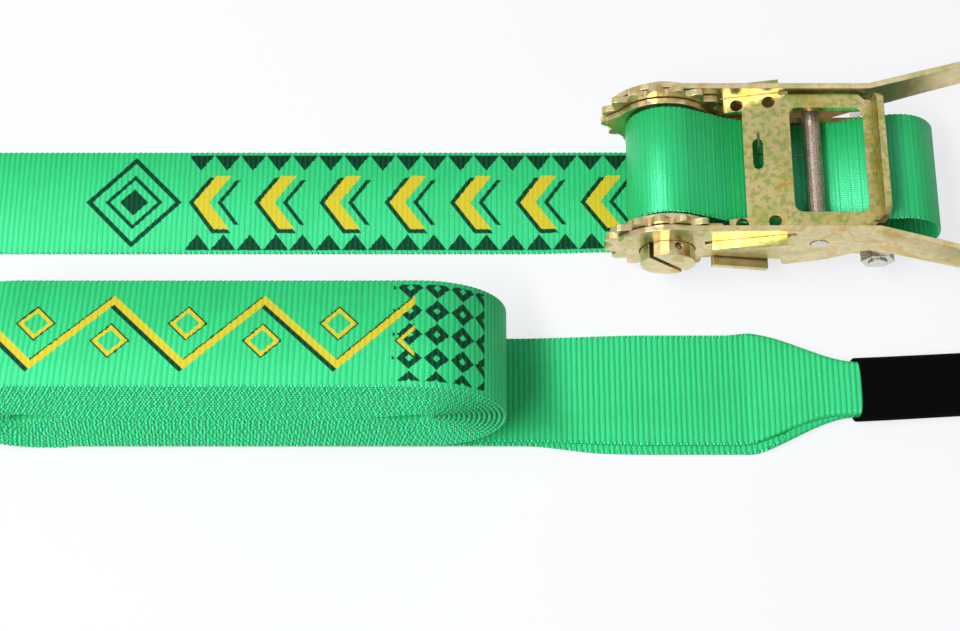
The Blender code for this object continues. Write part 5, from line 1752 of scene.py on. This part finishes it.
@dataclass
class Hardware:
    """The ratchet's metal pieces, which keep their modelled shapes and get their plating."""

    plated: tuple[str, ...] = ("base_frame", "lock_pawl", "handle", "mandrel_upper",
                               "mandrel_lower", "sprocket_front", "sprocket_rear")
    speckled: tuple[str, ...] = ("drive_pawl",)
    bright: tuple[str, ...] = ("base_bolt", "base_washer_front", "base_washer_rear", "base_nut",
                               "handle_rod")
    wire: tuple[str, ...] = ("split_pin_front", "split_pin_rear", "drive_pawl_spring",
                             "lock_pawl_spring")
    dull: tuple[str, ...] = ("rod_sleeve", "base_bolt_sleeve")

    def build(self) -> None:
        """Plates every metal node."""
        finishes = (
            (self.plated, YellowZinc().material()),
            (self.speckled, YellowZinc("speckled_yellow_zinc_steel", straw="#C2BC7C",
                                       green="#90A052", speckle=0.75).material()),
            (self.bright, PlatedSteel("bright_zinc_steel", "#D9D7D0", "#9A958A", 0.26).material()),
            (self.wire, PlatedSteel("drawn_steel_wire", "#7C766A", "#45403A", 0.38).material()),
            (self.dull, PlatedSteel("dull_steel_tube", "#C4B3A4", "#86766C", 0.45, 0.8, 0.9)
             .material()),
        )
        for names, material in finishes:
            for name in names:
                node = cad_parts[name]
                node.data.materials.clear()
                node.data.materials.append(material)
                for polygon in node.data.polygons:
                    polygon.material_index = 0
                LOG.info("%s is plated with %s", name, material.name)


@dataclass(frozen=True)
class Lamp:
    """A soft rectangular lamp: its place, its width and height in metres and its watts."""

    name: str
    place: tuple[float, float, float]
    size: Pair
    power: float


@dataclass
class Studio:
    """A plain white ground, soft lamps and a camera at the photograph's angle."""

    target: tuple[float, float, float] = (0.0, -20.5 * MM, 0.0)
    distance: float = 0.765
    elevation: float = math.radians(71)
    lens: float = 63.75
    sensor: float = 36.0
    nearest: float = 0.01
    ground: str = "#F7F8FA"
    ground_half: float = 6.0
    ground_z: float = -0.0002
    ground_glow: float = 0.8
    sky: float = 0.19
    sky_to_camera: float = 0.81
    sky_to_gloss: float = 0.42
    lamps: tuple[Lamp, ...] = (
        Lamp("key_lamp", (-0.6, -0.29, 1.2), (1.1, 0.24), 23.0),
        Lamp("fill_lamp", (0.6, 0.7, 1.2), (1.0, 1.0), 1.2))

    def _floor(self) -> None:
        """A wide white ground, seen almost shadeless as it is in the overexposed photograph."""
        bm = bmesh.new()
        bmesh.ops.create_grid(bm, x_segments=1, y_segments=1, size=self.ground_half)
        floor = bpy.data.objects.new("ground", bmesh_to_mesh(bm, "ground"))
        floor.location.z = self.ground_z
        bpy.context.scene.collection.objects.link(floor)
        made, tree, shader = new_material("matt_white_ground")
        feed(tree, shader, {
            "Base Color": linear(self.ground), "Roughness": 0.9, "Specular IOR Level": 0.1})
        seen = add_node(tree, "ShaderNodeLightPath").outputs["Is Camera Ray"]
        share = Formula(tree).mul(seen, self.ground_glow)
        glow = add_node(tree, "ShaderNodeEmission", inputs={"Color": linear(self.ground)})
        both = add_node(tree, "ShaderNodeMixShader", inputs={
            0: share, 1: shader.outputs[0], 2: glow.outputs[0]})
        tree.links.new(both.outputs[0], tree.nodes["Material Output"].inputs["Surface"])
        floor.data.materials.append(made)

    def _world(self) -> None:
        """Even white light all round, and a white view where the ground ends."""
        world = bpy.data.worlds.new("studio")
        bpy.context.scene.world = world
        world.use_nodes = True
        tree = world.node_tree
        path = add_node(tree, "ShaderNodeLightPath")
        f = Formula(tree)
        strength = f.add(self.sky, f.add(
            f.mul(path.outputs["Is Camera Ray"], self.sky_to_camera),
            f.mul(path.outputs["Is Glossy Ray"], self.sky_to_gloss)))
        feed(tree, tree.nodes["Background"], {"Color": (1, 1, 1, 1), "Strength": strength})

    def _light(self, lamp: Lamp) -> None:
        """Hangs one lamp, turned to the object.

        Args:
            lamp: The lamp.
        """
        data = bpy.data.lights.new(lamp.name, "AREA")
        data.shape = "RECTANGLE"
        data.size, data.size_y = lamp.size
        data.energy = lamp.power
        made = bpy.data.objects.new(lamp.name, data)
        made.location = lamp.place
        way = Vector(self.target) - Vector(lamp.place)
        made.rotation_euler = way.to_track_quat("-Z", "Y").to_euler()
        bpy.context.scene.collection.objects.link(made)

    def _camera(self) -> None:
        """The camera of the photograph."""
        data = bpy.data.cameras.new("camera")
        data.lens = self.lens
        data.sensor_width = self.sensor
        data.clip_start = self.nearest
        camera = bpy.data.objects.new("camera", data)
        away = Vector((0, -math.cos(self.elevation), math.sin(self.elevation)))
        camera.location = Vector(self.target) + away * self.distance
        camera.rotation_euler = (-away).to_track_quat("-Z", "Y").to_euler()
        bpy.context.scene.collection.objects.link(camera)
        bpy.context.scene.camera = camera

    def build(self) -> None:
        """Sets up the ground, the light and the camera."""
        bpy.context.scene.view_settings.view_transform = "Standard"
        self._floor()
        self._world()
        for lamp in self.lamps:
            self._light(lamp)
        self._camera()


def main() -> None:
    logging.basicConfig(level=logging.INFO, format="%(message)s")
    Studio().build()
    RatchetStrap().build()
    MainLine().build()
    Hardware().build()


if __name__ == "__main__":
    main()
